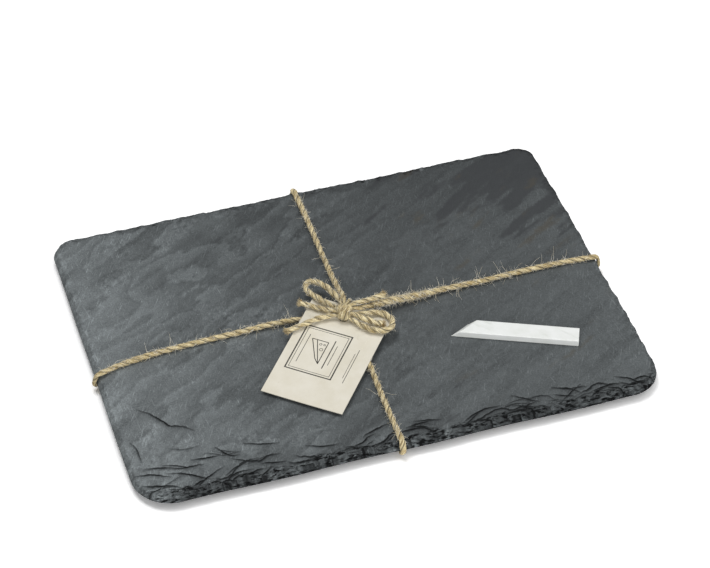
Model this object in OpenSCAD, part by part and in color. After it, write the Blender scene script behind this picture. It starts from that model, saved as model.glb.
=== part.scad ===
// Slate serving board tied both ways with jute twine, with a paper tag hung on the knot and a loose
// soapstone stick for marking the slate.
// Z is up and the rubber feet stand on Z 0. X runs along the board, Y to its rear edge.
// The middle of the board is over the origin.

/* [Slate] */
// Length of the board, left to right
slate_length = 356; // [290:1:420]
// Depth of the board, front to rear
slate_depth = 254; // [200:1:320]
// Thickness of the slate
slate_thick = 6; // [4.5:0.1:9]
// Radius of the front left corner
front_left_r = 27; // [20:1:44]
// Radius of the front right corner
front_right_r = 24; // [16:1:40]
// Radius of the rear left corner
rear_left_r = 14; // [12:1:30]
// Radius of the rear right corner
rear_right_r = 15; // [12:1:30]
// How far the broken edge slopes in, on average, from the underside to the top
chip_slope = 4; // [2:0.1:6]
// Depth of the long waves in the outline
outline_wander_depth = 1.6; // [0.4:0.1:2.4]
// Length of the long waves in the outline
wander_length = 97; // [60:1:160]
// Number of cleft layers that show as steps along the edge, without the top leaf
layer_count = 3; // [2:1:4]
// Length of one scallop along the broken edge
scallop_length = 19; // [12:1:32]
// Thickness of the top leaf, which has flaked back along the front
leaf_thick = 0.7; // [0.3:0.1:1.2]
// How far the deepest flake runs back from the front edge
flake_depth = 13; // [4:1:20]
// Length of the widest flake along the front edge
flake_length = 46; // [25:1:70]

/* [Feet] */
// Diameter of a rubber foot at its adhesive disc
foot_d = 16; // [10:0.5:22]
// Diameter of the flat that a foot stands on
foot_tip_d = 12.5; // [8:0.5:14]
// Height of the rubber of a foot
foot_h = 5.7; // [5.2:0.1:10]
// Radius of the edge around the flat of a foot
foot_edge_r = 1.2; // [0.5:0.1:2]
// Thickness of the adhesive disc on top of a foot
adhesive_thick = 0.3; // [0.2:0.1:1]
// Distance of a foot's middle from each of the two edges beside it
foot_inset = 34; // [24:1:60]

/* [Twine] */
// Diameter of the jute twine
twine_d = 3.6; // [2.6:0.1:4]
// Distance of the knot to the right of the board's middle
knot_x = -8.5; // [-30:0.5:20]
// Distance of the knot to the rear of the board's middle
knot_y = -11.5; // [-30:0.5:20]
// Where the lengthwise turn goes over the left edge, to the rear of the middle
left_edge_y = -9.5; // [-30:0.5:20]
// Where the lengthwise turn goes over the right edge, to the rear of the middle
right_edge_y = -2; // [-30:0.5:20]
// Where the crosswise turn goes over the rear edge, to the right of the middle
rear_edge_x = -1.8; // [-30:0.5:20]
// Where the crosswise turn goes over the front edge, to the right of the middle
front_edge_x = -6.5; // [-30:0.5:20]
// Width and height of the knot
knot_w = 8.4; // [7:0.1:11]
// Length of the knot along its wrapped turns
knot_length = 13; // [11:0.5:17]
// Direction of the knot's length, turned from the X axis
knot_turn = 72; // [55:1:90]
// Diameter of the pair of strands that rises through the tag's hole
stem_d = 6.6; // [5:0.1:7]

/* [Tag] */
// Width of the paper tag
tag_w = 56.5; // [40:0.5:64]
// Length of the paper tag
tag_length = 91; // [70:1:110]
// Thickness of the tag's card
tag_thick = 0.5; // [0.3:0.1:1]
// Diameter of the hole that the twine comes up through
tag_hole_d = 8; // [7.4:0.1:10]
// Distance of the hole's middle from the top edge of the tag
tag_hole_inset = 11; // [8:0.5:14]
// Distance of the hole's middle from the tag's middle line, to the left
tag_hole_shift = 2; // [0:0.5:4]
// Direction from the tag's bottom edge to its hole, turned from the X axis
tag_turn = 50.5; // [44:0.5:58]
// Slope of the tag, up to its hole
tag_tilt = 2.7; // [2:0.1:2.8]
// Height of the tag's hole above the twine that lies on the slate
tag_lift = 2.3; // [2.2:0.1:4]

/* [Soapstone] */
// Length of the stick, to the tip of its cut end
stone_length = 84.8; // [60:0.1:110]
// Width of the stick
stone_w = 12.7; // [9:0.1:15]
// Thickness of the stick
stone_thick = 4.76; // [3:0.01:7]
// How far the cut end slants back across the width
stone_slant = 10.8; // [0:0.1:16]
// How far the cut end slopes back from the underside to the top
stone_slope = 5.5; // [0:0.1:8]
// Direction of the stick from its cut end, turned from the X axis
stone_turn = -23.9; // [-40:0.1:0]
// Distance of the middle of its square end from the board's right edge
stone_right = 42.5; // [28:0.5:68]
// Distance of the middle of its square end from the board's front edge
stone_front = 54.5; // [42:0.5:77]

/* [Clearances] */
// Gap between the tag and what it swings past
swing_gap = 0.35; // [0.2:0.05:0.6]
// Gap under twine that lies on the slate
rest_gap = 0.05; // [0.02:0.01:0.1]
// Room that stays under the twine where the board stands on a table
table_gap = 0.6; // [0.3:0.1:1]

/* [Hidden] */

$fn = 64;
half_length = slate_length / 2;
half_depth = slate_depth / 2;
stand_off = foot_h + adhesive_thick;
top_z = stand_off + slate_thick;

// Colours
slate_colour = "#5A6163";
rubber_colour = "#2A2B2C";
adhesive_colour = "#D9D6CC";
twine_colour = "#BFA574";
card_colour = "#DDD3C2";
stone_colour = "#E4E7E6";

// Outline of the slate
// Length of one straight piece of the outline
outline_piece_length = 6.2;
// Pieces in the arc of a corner
corner_steps = 7;
// Of each side, in the order right, rear, left and front: how deep its scallops are, of the average step
// between two layers, and how far its broken edge slopes in
rough_shares = [0.75, 0.7, 0.3, 1];
slope_shares = [0.5, 0.45, 1, 1];
// The part of a layer's step that is there even at the tips of its scallops
least_step_share = 0.5;
// Places of the flakes along the front edge, of the half length, with their depths and lengths, of the
// deepest flake and of the widest
flake_shares = [[-0.52, 1, 1], [-0.13, 0.5, 0.7], [0.36, 0.45, 0.8], [0.74, 0.6, 0.7]];

// Twine
twine_sides = 8;
loop_sides = 6;
twine_seat = twine_d / 2 * cos(180 / twine_sides) + rest_gap;
top_run = top_z + twine_seat;
under_run = stand_off - twine_seat;
// The strands leave the knot pinched to this share of the twine's diameter
pinch_share = 0.62;
// The twine turns over the slate's edge around two centres, each this far inside an edge
bend_inset = 0.6;
// Room between the twine and the slate's edge
bend_slack = 0.25;
bend_r = twine_d / 2 + bend_inset * sqrt(2) + bend_slack;
bend_steps = 3;
// Under the board the two turns of twine press each other flat where they cross
cross_thick = min(twine_d, (stand_off - table_gap) / 2 - rest_gap);
cross_share = cross_thick / twine_d;
cross_upper_z = stand_off - rest_gap - cross_thick / 2;
cross_lower_z = cross_upper_z - cross_thick - rest_gap;
cross_x = (rear_edge_x + front_edge_x) / 2;
cross_y = (left_edge_y + right_edge_y) / 2;
// Length over which a strand goes down to the crossing, of the twine's diameter
cross_ramp_share = 6;
cross_ramp = cross_ramp_share * twine_d;

// Knot, over the hole of the tag
tag_pivot_z = top_z + twine_d + tag_lift;
tag_over_pivot = (tag_thick / 2 + knot_length / 2 * sin(tag_tilt)) / cos(tag_tilt);
knot_z = tag_pivot_z + tag_over_pivot + swing_gap + knot_w / 2;
stem_foot_z = top_z + rest_gap;

// Routes of the strands. Those of the bow are measured from the middle of the knot, in round numbers
// that were chosen by hand, each with the share of the twine's diameter that the strand has there.
loop_left_route = [
    [1, 4.6, -1, 0.5], [1.2, 8.5, -1, 0.65], [1, 13.5, -1, 0.8], [-1.4, 21, -0.9, 1], [-3.6, 27.5, -1, 1],
    [-6.2, 32, -1.3, 1], [-8.8, 35.2, -1.6, 1], [-11.8, 36.8, -1.9, 1], [-14.8, 36.2, -2.1, 1],
    [-16.6, 33.4, -2.1, 1], [-17, 29.8, -1.9, 1], [-15.8, 26, -1.7, 1], [-13.6, 21.8, -1.4, 1],
    [-11, 17.2, -1.1, 1], [-8.2, 12.8, -0.7, 0.95], [-5.6, 8.8, -0.3, 0.8], [-3.2, 5.4, 0.2, 0.65],
    [-1.6, 3.4, 0.5, 0.5]
];
loop_right_route = [
    [2.6, -0.9, -1.2, 0.5], [5, -1.8, -1.4, 0.65], [9, -3, -1.6, 0.85], [14, -3.6, -1.7, 1],
    [19.2, -4.4, -1.8, 1], [23.6, -6.2, -1.9, 1], [26.8, -9.4, -2, 1], [28.4, -13.4, -2.1, 1],
    [28, -17.6, -2.2, 1], [25.6, -20.8, -2.2, 1], [22, -22.2, -2.2, 1], [17.8, -21.6, -2.2, 1],
    [13.6, -19.4, -2.1, 1], [10, -16.2, -2, 1], [7.2, -12.8, -1.9, 0.95], [4.8, -9.2, -1.7, 0.8],
    [2.6, -6.2, -1.4, 0.65], [0.6, -4, -1.2, 0.5]
];
end_left_upper_route = [
    [-3, 0.9, -0.4, 0.5], [-5.6, 3.6, -1, 0.7], [-9.6, 7, -1.6, 0.95], [-14.4, 11, -2, 1],
    [-19.6, 15.4, -2.2, 1], [-24.6, 19, -2.2, 1.1]
];
end_left_lower_route = [
    [-3, -1.6, -1, 0.5], [-6.6, 0.2, -1.5, 0.7], [-12, 1.6, -2, 0.95], [-19, 1.6, -2.3, 1],
    [-26.4, 0.2, -2.7, 1], [-33.6, -1, -3.2, 1], [-40.4, -2.4, -3.6, 1.1]
];
end_right_route = [
    [2.6, -2.4, 0.6, 0.5], [5.2, -4.6, 0.8, 0.7], [9, -8.2, 0.2, 0.95], [13.6, -11.8, -0.6, 1],
    [18, -14.6, -1.4, 1], [21.4, -16.8, -1.8, 1.1]
];
end_along_arm_route = [
    [2, 1.8, 2.8, 0.5], [6.4, 2.4, 3.6, 0.75], [12, 2.6, 3.6, 0.95], [18.2, 3.6, 2.8, 1],
    [24.4, 5.4, 1.7, 1.05], [29.6, 7.2, 0.9, 1.3]
];
// The stub that sticks out of the knot, from its root to its end
stub_route = [[1.6, 3.4, 2], [6.4, 7.2, 3]];

// The lengthwise turn leaves the knot over the tag, goes round the board and comes back under the tag.
// Heights are measured from the top run of the twine.
right_arm_route = [
    [knot_x + 3.4, knot_y + 1.6, knot_z + 0.5, 0.5], [knot_x + 7, knot_y + 1.4, knot_z + 0.4, 0.75],
    [knot_x + 12, knot_y + 1, knot_z - 0.3, 1], [knot_x + 18, knot_y + 2, knot_z - 1.4, 1.05],
    [18, -7, top_run + 5.8, 1.25], [26.5, -5, top_run + 4.1, 1.35], [37, -4.1, top_run + 2.6, 1.35],
    [48, -3.4, top_run + 1.6, 1.25], [62, -2.2, top_run + 1, 1.05], [76, -1.9, top_run + 0.7, 1],
    [92, -1.5, top_run + 0.2, 1], [125, -0.4, top_run, 1], [155, -0.6, top_run, 1]
];
left_arm_route = [
    [-164, -6.4, top_run, 1], [-140, -2.6, top_run, 1], [-110, -0.6, top_run, 1], [-77, 0.3, top_run, 1],
    [-50, 0.2, top_run + 0.9, 1], [-30, -2.6, top_run + 1.4, 1], [knot_x - 5, knot_y + 2.4, top_run + 1.5, 1],
    [knot_x - 2.8, knot_y + 1.2, top_run + 1.5, 1]
];
rear_arm_route = [
    [knot_x + 2, knot_y + 4.6, knot_z + 1.6, 0.5], [knot_x + 3, knot_y + 9.5, knot_z + 1.6, 0.7],
    [knot_x + 3.8, knot_y + 15, knot_z + 0.7, 0.9], [-4.6, 10.5, top_run + 7.6, 1],
    [-4.2, 33, top_run + 4.4, 1], [-2.8, 62, top_run + 1.6, 1], [-1.8, 92, top_run, 1]
];
front_arm_route = [
    [-6.4, -104, top_run, 1], [-5.8, -78, top_run, 1], [-5, -55, top_run + 0.6, 1],
    [knot_x + 3, knot_y - 15, top_run + 1.4, 1], [knot_x + 1, knot_y - 5, top_run + 1.5, 1],
    [knot_x + 0.5, knot_y - 2.8, top_run + 1.5, 1]
];

// A number between 0 at the tips of the scallops and 1 at their middles, at a place on the outline
function scallop(x, y, phase) =
    let (warp = scallop_length * sin(180 * (x - y) / wander_length + phase) / 2)
    abs(sin(180 * (x + y + warp) / scallop_length + phase));

// The share of the four that holds where the outline faces the direction a, with a smooth change at the
// corners
function side_share(shares, a) =
    shares[cos(a) > 0 ? 0 : 2] * pow(cos(a), 2) + shares[sin(a) > 0 ? 1 : 3] * pow(sin(a), 2);

// The long waves of the outline, as a depth
function wander(x, y) =
    outline_wander_depth * (2 - sin(360 * x / wander_length + 40) - sin(360 * y / wander_length - 70)) / 4;

// How far the layer at a place steps in from the underside's outline
function layer_inset(layer, x, y, a) =
    let (rough = side_share(rough_shares, a))
    layer == 0 ? rough * wander(x, y) :
    layer_inset(layer - 1, x, y, a) + side_share(slope_shares, a) * chip_slope / layer_count * (
        least_step_share + 2 * (1 - least_step_share) * rough * scallop(x, y, 77 * layer)
    );

// How far the top leaf has flaked back at a place on the front edge
function flake(x, a) =
    sin(a) >= 0 ? 0 :
    sin(a) * sin(a) * flake_depth * max([
        for (f = flake_shares)
            let (reach = (x - f[0] * half_length) / (f[2] * flake_length))
            abs(reach) < 1 ? f[1] * pow(cos(90 * reach), 2) : 0
    ]);

// Corners from the front right one on, each with the middle of its arc, its radius and the direction
// in which the arc begins
corners = [
    [half_length - front_right_r, front_right_r - half_depth, front_right_r, -90],
    [half_length - rear_right_r, half_depth - rear_right_r, rear_right_r, 0],
    [rear_left_r - half_length, half_depth - rear_left_r, rear_left_r, 90],
    [front_left_r - half_length, front_left_r - half_depth, front_left_r, 180]
];

// A point of a corner's arc, and the direction that it faces
function arc_point(c, a) = [c[0] + c[2] * cos(a), c[1] + c[2] * sin(a), a];

// Points all round the board at its full size: each corner's arc, then the straight side after it
full_outline = [
    for (i = [0:3])
        let (
            c = corners[i],
            after = corners[(i + 1) % 4],
            from = arc_point(c, c[3] + 90),
            to = arc_point(after, c[3] + 90),
            steps = ceil(norm([to[0] - from[0], to[1] - from[1]]) / outline_piece_length)
        )
        each concat(
            [for (k = [0:corner_steps - 1]) arc_point(c, c[3] + 90 * k / corner_steps)],
            [
                for (k = [0:steps - 1])
                    let (way = k / steps)
                    [from[0] + (to[0] - from[0]) * way, from[1] + (to[1] - from[1]) * way, from[2]]
            ]
        )
];

// The outline of a layer. The top leaf is the last one and has flaked back.
function layer_outline(layer) = [
    for (p = full_outline)
        let (inset = layer_inset(layer, p[0], p[1], p[2]) + (layer == layer_count ? flake(p[0], p[2]) : 0))
        [p[0] - inset * cos(p[2]), p[1] - inset * sin(p[2])]
];

// Twine tubes
function unit(v) = v / norm(v);
function tangent(route, i) =
    let (a = route[max(i - 1, 0)], b = route[min(i + 1, len(route) - 1)])
    unit([b[0] - a[0], b[1] - a[1], b[2] - a[2]]);

// One ring of points round the route, whose thickness is measured along thin_axis, or square to it
function ring(route, i, wide_axis, sides) =
    let (
        p = route[i],
        t = tangent(route, i),
        wide = unit(wide_axis - (wide_axis * t) * t),
        thin = cross(t, wide),
        wide_r = twine_d / 2 * p[3],
        thin_r = twine_d / 2 * (len(p) > 4 ? p[4] : p[3])
    )
    [
        for (k = [0:sides - 1])
            let (a = 360 * (k + 1 / 2) / sides)
            [p[0], p[1], p[2]] + wide_r * cos(a) * wide + thin_r * sin(a) * thin
    ];

module twine_tube(route, wide_axis, sides) {
    rings = len(route);
    last = (rings - 1) * sides;
    points = [for (i = [0:rings - 1]) each ring(route, i, wide_axis, sides)];
    walls = [
        for (i = [0:rings - 2], k = [0:sides - 1])
            let (a = i * sides + k, b = i * sides + (k + 1) % sides)
            each [[b, a, a + sides], [b, a + sides, b + sides]]
    ];
    caps = [
        for (k = [1:sides - 2])
            each [[0, k, k + 1], [last, last + k + 1, last + k]]
    ];
    polyhedron(points, concat(walls, caps));
}

// A turn of the twine over an edge of the slate, from the top run to the under run, as pairs of the
// distance outside the edge's foot and the height. The edge slopes in by slope_in on average.
function edge_turn(slope_in) =
    let (
        top_middle = [-least_step_share * slope_in - bend_inset, top_z - bend_inset],
        low_middle = [-bend_inset, stand_off + bend_inset],
        lean = atan2(low_middle[0] - top_middle[0], top_middle[1] - low_middle[1])
    )
    concat(
        [for (k = [0:bend_steps - 1]) top_middle + bend_r * along(90 + (lean - 90) * k / (bend_steps - 1))],
        [for (k = [0:bend_steps]) low_middle + bend_r * along(lean - (lean + 90) * k / bend_steps)]
    );
function along(a) = [cos(a), sin(a)];
function reversed(list) = [for (i = [len(list) - 1:-1:0]) list[i]];

// The same turn as points of a route over the edge that faces the direction a, at a place along it
function turn_over(a, edge, place) =
    let (
        foot = edge - layer_inset(0, edge * cos(a) - place * sin(a), edge * sin(a) + place * cos(a), a)
    )
    [
        for (p = edge_turn(side_share(slope_shares, a) * chip_slope))
            let (out = foot + p[0])
            [out * cos(a) - place * sin(a), out * sin(a) + place * cos(a), p[1], 1]
    ];

lengthwise_route = concat(
    right_arm_route,
    turn_over(0, half_length, right_edge_y),
    [
        [cross_x + 2 * cross_ramp, cross_y, under_run, 1],
        [cross_x + cross_ramp, cross_y, (under_run + cross_lower_z) / 2, 1],
        [cross_x + twine_d, cross_y, cross_lower_z, 1, cross_share],
        [cross_x - twine_d, cross_y, cross_lower_z, 1, cross_share],
        [cross_x - cross_ramp, cross_y, (under_run + cross_lower_z) / 2, 1],
        [cross_x - 2 * cross_ramp, cross_y, under_run, 1]
    ],
    reversed(turn_over(180, half_length, -left_edge_y)),
    left_arm_route
);

crosswise_route = concat(
    rear_arm_route,
    turn_over(90, half_depth, -rear_edge_x),
    [
        [cross_x, cross_y + cross_ramp, under_run, 1],
        [cross_x, cross_y + twine_d, cross_upper_z, 1, cross_share],
        [cross_x, cross_y - twine_d, cross_upper_z, 1, cross_share],
        [cross_x, cross_y - cross_ramp, under_run, 1]
    ],
    reversed(turn_over(-90, half_depth, front_edge_x)),
    front_arm_route
);

// A stack of cleft layers, each stepped in from the one below, with a thin leaf on top
module slate_board() {
    body_thick = slate_thick - leaf_thick;
    color(slate_colour)
        translate([0, 0, stand_off])
        for (layer = [0:layer_count])
            let (
                from = layer * body_thick / layer_count,
                thick = layer == layer_count ? leaf_thick : body_thick / layer_count
            )
            translate([0, 0, from]) linear_extrude(thick) polygon(layer_outline(layer));
}

// Places what stands at a corner of the board, where side and end are -1 or 1
module at_corner(side, end) {
    translate([side * (half_length - foot_inset), end * (half_depth - foot_inset), 0]) children();
}

// A tapered rubber foot with a rounded edge round its flat
module foot(side, end) {
    edge_x = foot_tip_d / 2;
    color(rubber_colour)
        at_corner(side, end)
        rotate_extrude()
        polygon(concat(
            [[0, 0], [edge_x, 0]],
            [
                for (a = [-60:30:0])
                    [edge_x + foot_edge_r * cos(a), foot_edge_r + foot_edge_r * sin(a)]
            ],
            [[foot_d / 2, foot_h], [0, foot_h]]
        ));
}

// The thin adhesive disc between a foot and the slate
module adhesive(side, end) {
    color(adhesive_colour)
        at_corner(side, end)
        translate([0, 0, foot_h])
        cylinder(d = foot_d, h = adhesive_thick);
}

module twine_lengthwise() {
    color(twine_colour) twine_tube(lengthwise_route, [0, 1, 0], twine_sides);
}

module twine_crosswise() {
    color(twine_colour) twine_tube(crosswise_route, [1, 0, 0], twine_sides);
}

// A straight stub of twine between two places, with a square end
module twine_stub(from, to) {
    way = to - from;
    translate(from)
        rotate([0, acos(way[2] / norm(way)), atan2(way[1], way[0])])
        cylinder(d = twine_d * pinch_share, h = norm(way));
}

// The knot is a lump drawn out along its wrapped turns, on the pair of strands that comes up through
// the hole of the tag
module bow_knot() {
    color(twine_colour)
        translate([knot_x, knot_y, 0]) {
            translate([0, 0, stem_foot_z]) cylinder(d = stem_d, h = knot_z - stem_foot_z);
            translate([0, 0, knot_z]) {
                rotate([0, 90, knot_turn])
                    rotate_extrude()
                    polygon([
                        for (a = [-90:15:90])
                            [knot_w / 2 * cos(a), knot_length / 2 * sin(a)]
                    ]);
                twine_stub(stub_route[0], stub_route[1]);
            }
        }
}

// What is routed from the middle of the knot
module from_knot() {
    color(twine_colour) translate([knot_x, knot_y, knot_z]) children();
}

module bow_loop_left() {
    from_knot() twine_tube(loop_left_route, [0, 0, 1], loop_sides);
}

module bow_loop_right() {
    from_knot() twine_tube(loop_right_route, [0, 0, 1], loop_sides);
}

module bow_end_left_upper() {
    from_knot() twine_tube(end_left_upper_route, [0, 0, 1], twine_sides);
}

module bow_end_left_lower() {
    from_knot() twine_tube(end_left_lower_route, [0, 0, 1], twine_sides);
}

module bow_end_right() {
    from_knot() twine_tube(end_right_route, [0, 0, 1], twine_sides);
}

module bow_end_along_arm() {
    from_knot() twine_tube(end_along_arm_route, [0, 0, 1], twine_sides);
}

// The tag hangs on the knot by its hole and slopes down to its bottom edge
module tag_card() {
    color(card_colour)
        translate([knot_x, knot_y, tag_pivot_z])
        rotate([0, -tag_tilt, tag_turn])
        translate([0, 0, -tag_thick / 2])
        difference() {
            translate([tag_hole_inset - tag_length, -tag_w / 2 - tag_hole_shift, 0])
                cube([tag_length, tag_w, tag_thick]);
            translate([0, 0, -tag_thick]) cylinder(d = tag_hole_d, h = 3 * tag_thick);
        }
}

// A flat stick whose far end was cut on a slant and on a slope
module soapstone_stick() {
    cut = 2 * stone_w + 2 * stone_slant;
    slant = atan2(stone_slant, stone_w);
    slope = atan2(stone_slope * cos(slant), stone_thick);
    color(stone_colour)
        translate([half_length - stone_right, stone_front - half_depth, top_z])
        rotate([0, 0, stone_turn])
        difference() {
            translate([-stone_length, -stone_w / 2, 0]) cube([stone_length, stone_w, stone_thick]);
            translate([-stone_length, -stone_w / 2, 0])
                rotate([0, slope, -slant])
                translate([-cut, -cut, -cut])
                cube([cut, 2 * cut, 2 * cut]);
        }
}

slate_board();
foot(-1, -1);  // foot_front_left
foot(1, -1);  // foot_front_right
foot(-1, 1);  // foot_rear_left
foot(1, 1);  // foot_rear_right
adhesive(-1, -1);  // adhesive_front_left
adhesive(1, -1);  // adhesive_front_right
adhesive(-1, 1);  // adhesive_rear_left
adhesive(1, 1);  // adhesive_rear_right
twine_lengthwise();
twine_crosswise();
bow_knot();
bow_loop_left();
bow_loop_right();
bow_end_left_upper();
bow_end_left_lower();
bow_end_right();
bow_end_along_arm();
tag_card();
soapstone_stick();
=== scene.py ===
"""A slate serving board tied both ways with jute twine in a bow, with a paper tag on the knot and a stick of
soapstone on the slate. Shapes are worked out in millimetres, and MM turns them to the scene's metres."""

import math

import bpy
import numpy as np
from mathutils import Matrix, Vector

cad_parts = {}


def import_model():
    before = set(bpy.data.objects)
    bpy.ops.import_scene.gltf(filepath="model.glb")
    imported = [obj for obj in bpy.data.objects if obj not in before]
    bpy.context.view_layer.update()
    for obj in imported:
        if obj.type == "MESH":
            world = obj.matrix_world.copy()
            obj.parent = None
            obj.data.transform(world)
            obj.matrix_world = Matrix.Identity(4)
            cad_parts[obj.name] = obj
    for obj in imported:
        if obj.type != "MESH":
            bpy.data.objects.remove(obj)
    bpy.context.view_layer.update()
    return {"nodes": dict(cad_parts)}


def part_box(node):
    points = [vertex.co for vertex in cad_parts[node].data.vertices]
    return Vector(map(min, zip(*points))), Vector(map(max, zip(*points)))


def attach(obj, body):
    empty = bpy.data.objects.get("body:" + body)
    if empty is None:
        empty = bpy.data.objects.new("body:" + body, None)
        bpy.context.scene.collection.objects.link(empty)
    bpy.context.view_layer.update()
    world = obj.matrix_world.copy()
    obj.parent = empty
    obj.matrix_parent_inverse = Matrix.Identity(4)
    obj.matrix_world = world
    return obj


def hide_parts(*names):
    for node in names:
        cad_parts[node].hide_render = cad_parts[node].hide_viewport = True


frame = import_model()

MM = 0.001

# Driving sizes of the board, as the frame was built
SLATE_LENGTH = 356.0
SLATE_DEPTH = 254.0
HALF_LENGTH = SLATE_LENGTH / 2
HALF_DEPTH = SLATE_DEPTH / 2
SLATE_LOW, SLATE_HIGH = (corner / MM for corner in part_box("slate_board"))
STAND_OFF = SLATE_LOW.z
TOP_Z = SLATE_HIGH.z
# Corner radii: front left, front right, rear left, rear right
CORNER_RADII = np.array([[27.0, 24.0], [14.0, 15.0]])

# Twine, knot and tag, as the frame was built
TWINE_D = 3.6
TOP_RUN = TOP_Z + 1.713
UNDER_RUN = STAND_OFF - 1.713
KNOT = np.array([-8.5, -11.5, 23.007])
TAG_PIVOT = np.array([-8.5, -11.5, 17.9])
TAG_TURN = math.radians(50.5)
TAG_TILT = math.radians(2.7)

# Soapstone stick, as the frame was built: its square end's middle, its direction and its sizes
STICK_END = np.array([135.5, -72.5])
STICK_TURN = math.radians(-23.9)
STICK_LENGTH, STICK_W, STICK_THICK = 84.8, 12.7, 4.76

# Camera, fitted to the photograph's frame of 710 by 568 pixels: angles, distance and the place it looks at in
# millimetres, lens and sensor in millimetres, and the depth that it sees in metres
VIEW_AZIMUTH = math.radians(18.628)
VIEW_ELEVATION = math.radians(43.466)
VIEW_ROLL = math.radians(0.806)
VIEW_DISTANCE = 1649.6
VIEW_TARGET = np.array([14.5, 35.19, 0.0])
VIEW_LENS, VIEW_SENSOR = 121.87, 36.0
VIEW_NEAR, VIEW_FAR = 0.05, 30


def aim(azimuth, elevation, roll=0.0):
    """The right, up and back directions of something that looks down at the scene: azimuth turns its view to
    the right of +Y, elevation lifts it, and roll turns it about its line of sight."""
    level = np.array([math.cos(azimuth), -math.sin(azimuth), 0.0])
    away = math.cos(elevation)
    back = np.array([-math.sin(azimuth) * away, -math.cos(azimuth) * away, math.sin(elevation)])
    upright = np.cross(back, level)
    right = math.cos(roll) * level + math.sin(roll) * upright
    return right, np.cross(back, right), back


def place_at(obj, right, up, back, middle):
    """Sets an object's matrix from its three directions and its middle."""
    matrix = np.eye(4)
    matrix[:3, :3] = np.stack([right, up, back], axis=1)
    matrix[:3, 3] = middle * MM
    obj.matrix_world = Matrix(matrix.tolist())


def placed(name, data):
    """An object with this data, in the scene."""
    obj = bpy.data.objects.new(name, data)
    bpy.context.collection.objects.link(obj)
    return obj


def camera():
    data = bpy.data.cameras.new("photo_camera")
    data.lens, data.sensor_width = VIEW_LENS, VIEW_SENSOR
    data.clip_start, data.clip_end = VIEW_NEAR, VIEW_FAR
    obj = placed("photo_camera", data)
    right, up, back = aim(VIEW_AZIMUTH, VIEW_ELEVATION, VIEW_ROLL)
    place_at(obj, right, up, back, VIEW_TARGET + VIEW_DISTANCE * back)
    bpy.context.scene.camera = obj


camera()


# Numbers

# Factors that scatter a lattice cell's two indices and the seed, and the shifts and factors that fold them
SCATTER = (374761393, 668265263, 974634777)
FOLDS = ((13, 1274126177), (15, 668265263))
# From one layer of noise to the next: its turn in radians, its shift and the step of the seed
LAYER_TURN, LAYER_SHIFT, LAYER_SEED = 0.646, (5.3, -3.1), 17


def unit(v):
    """The same direction with length 1, along the last axis."""
    return v / np.maximum(np.linalg.norm(v, axis=-1, keepdims=True), 1e-9)


def smooth(low, high, x):
    """0 below low, 1 above high, and between them 3t² − 2t³."""
    t = np.clip((x - low) / (high - low), 0, 1)
    return t * t * (3 - 2 * t)


def wave(degrees):
    return np.sin(np.radians(degrees))


def about_z(angle):
    """The matrix of a turn about Z."""
    c, s = math.cos(angle), math.sin(angle)
    return np.array([[c, -s, 0], [s, c, 0], [0, 0, 1]])


def lattice(i, j, seed):
    """A fixed number from -1 to 1 for each cell of a lattice: its two indices, multiplied, folded and cut."""
    h = (i.astype(np.int64) * SCATTER[0] + j.astype(np.int64) * SCATTER[1] + seed * SCATTER[2]) & 0xFFFFFFFF
    for shift, factor in FOLDS:
        h = ((h ^ (h >> shift)) * factor) & 0xFFFFFFFF
    return ((h >> 8) & 0xFFFF) / 32767.5 - 1


def noise(x, y, seed):
    """Value noise from -1 to 1, with features one unit long: the four lattice numbers round a place, mixed
    along each axis by 6t⁵ − 15t⁴ + 10t³."""
    i, j = np.floor(x), np.floor(y)
    s, t = ((d * d * d * (d * (d * 6 - 15) + 10)) for d in (x - i, y - j))
    near = lattice(i, j, seed) * (1 - s) + lattice(i + 1, j, seed) * s
    far = lattice(i, j + 1, seed) * (1 - s) + lattice(i + 1, j + 1, seed) * s
    return near * (1 - t) + far * t


def fractal(x, y, seed, layers):
    """Layers of noise, each turned by 37 degrees, twice as fine and half as strong as the last."""
    total, strength, reach = 0, 1.0, 0.0
    c, s = math.cos(LAYER_TURN), math.sin(LAYER_TURN)
    for k in range(layers):
        total = total + strength * noise(x, y, seed + LAYER_SEED * k)
        reach += strength
        strength /= 2
        x, y = 2 * (c * x - s * y) + LAYER_SHIFT[0], 2 * (s * x + c * y) + LAYER_SHIFT[1]
    return total / reach


# Meshes

def add_piece(name, points, faces, material, body, slot, attributes=(), smooth_faces=True):
    """A piece from points in millimetres and index arrays with one row a face, riding on a body, with the
    material given as its finish; slot is not used. attributes maps names to numbers or triples, one for each
    point."""
    mesh = bpy.data.meshes.new(name)
    faces = [np.asarray(f, dtype=np.int32) for f in faces]
    corners = np.concatenate([f.ravel() for f in faces])
    sizes = np.concatenate([np.full(len(f), f.shape[1]) for f in faces])
    starts = np.concatenate([[0], np.cumsum(sizes)[:-1]]).astype(np.int32)
    mesh.vertices.add(len(points))
    mesh.vertices.foreach_set("co", (np.asarray(points) * MM).astype(np.float32).ravel())
    mesh.loops.add(len(corners))
    mesh.loops.foreach_set("vertex_index", corners)
    mesh.polygons.add(len(sizes))
    mesh.polygons.foreach_set("loop_start", starts)
    mesh.update(calc_edges=True)
    mesh.polygons.foreach_set("use_smooth", np.broadcast_to(smooth_faces, len(sizes)).astype(bool))
    for key, values in dict(attributes).items():
        values = np.asarray(values, dtype=np.float32)
        wide = values.ndim > 1
        layer = mesh.attributes.new(key, "FLOAT_VECTOR" if wide else "FLOAT", "POINT")
        layer.data.foreach_set("vector" if wide else "value", values.ravel())
    mesh.materials.append(material)
    mesh.update()
    obj = placed(name, mesh)
    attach(obj, body)
    return obj


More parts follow.
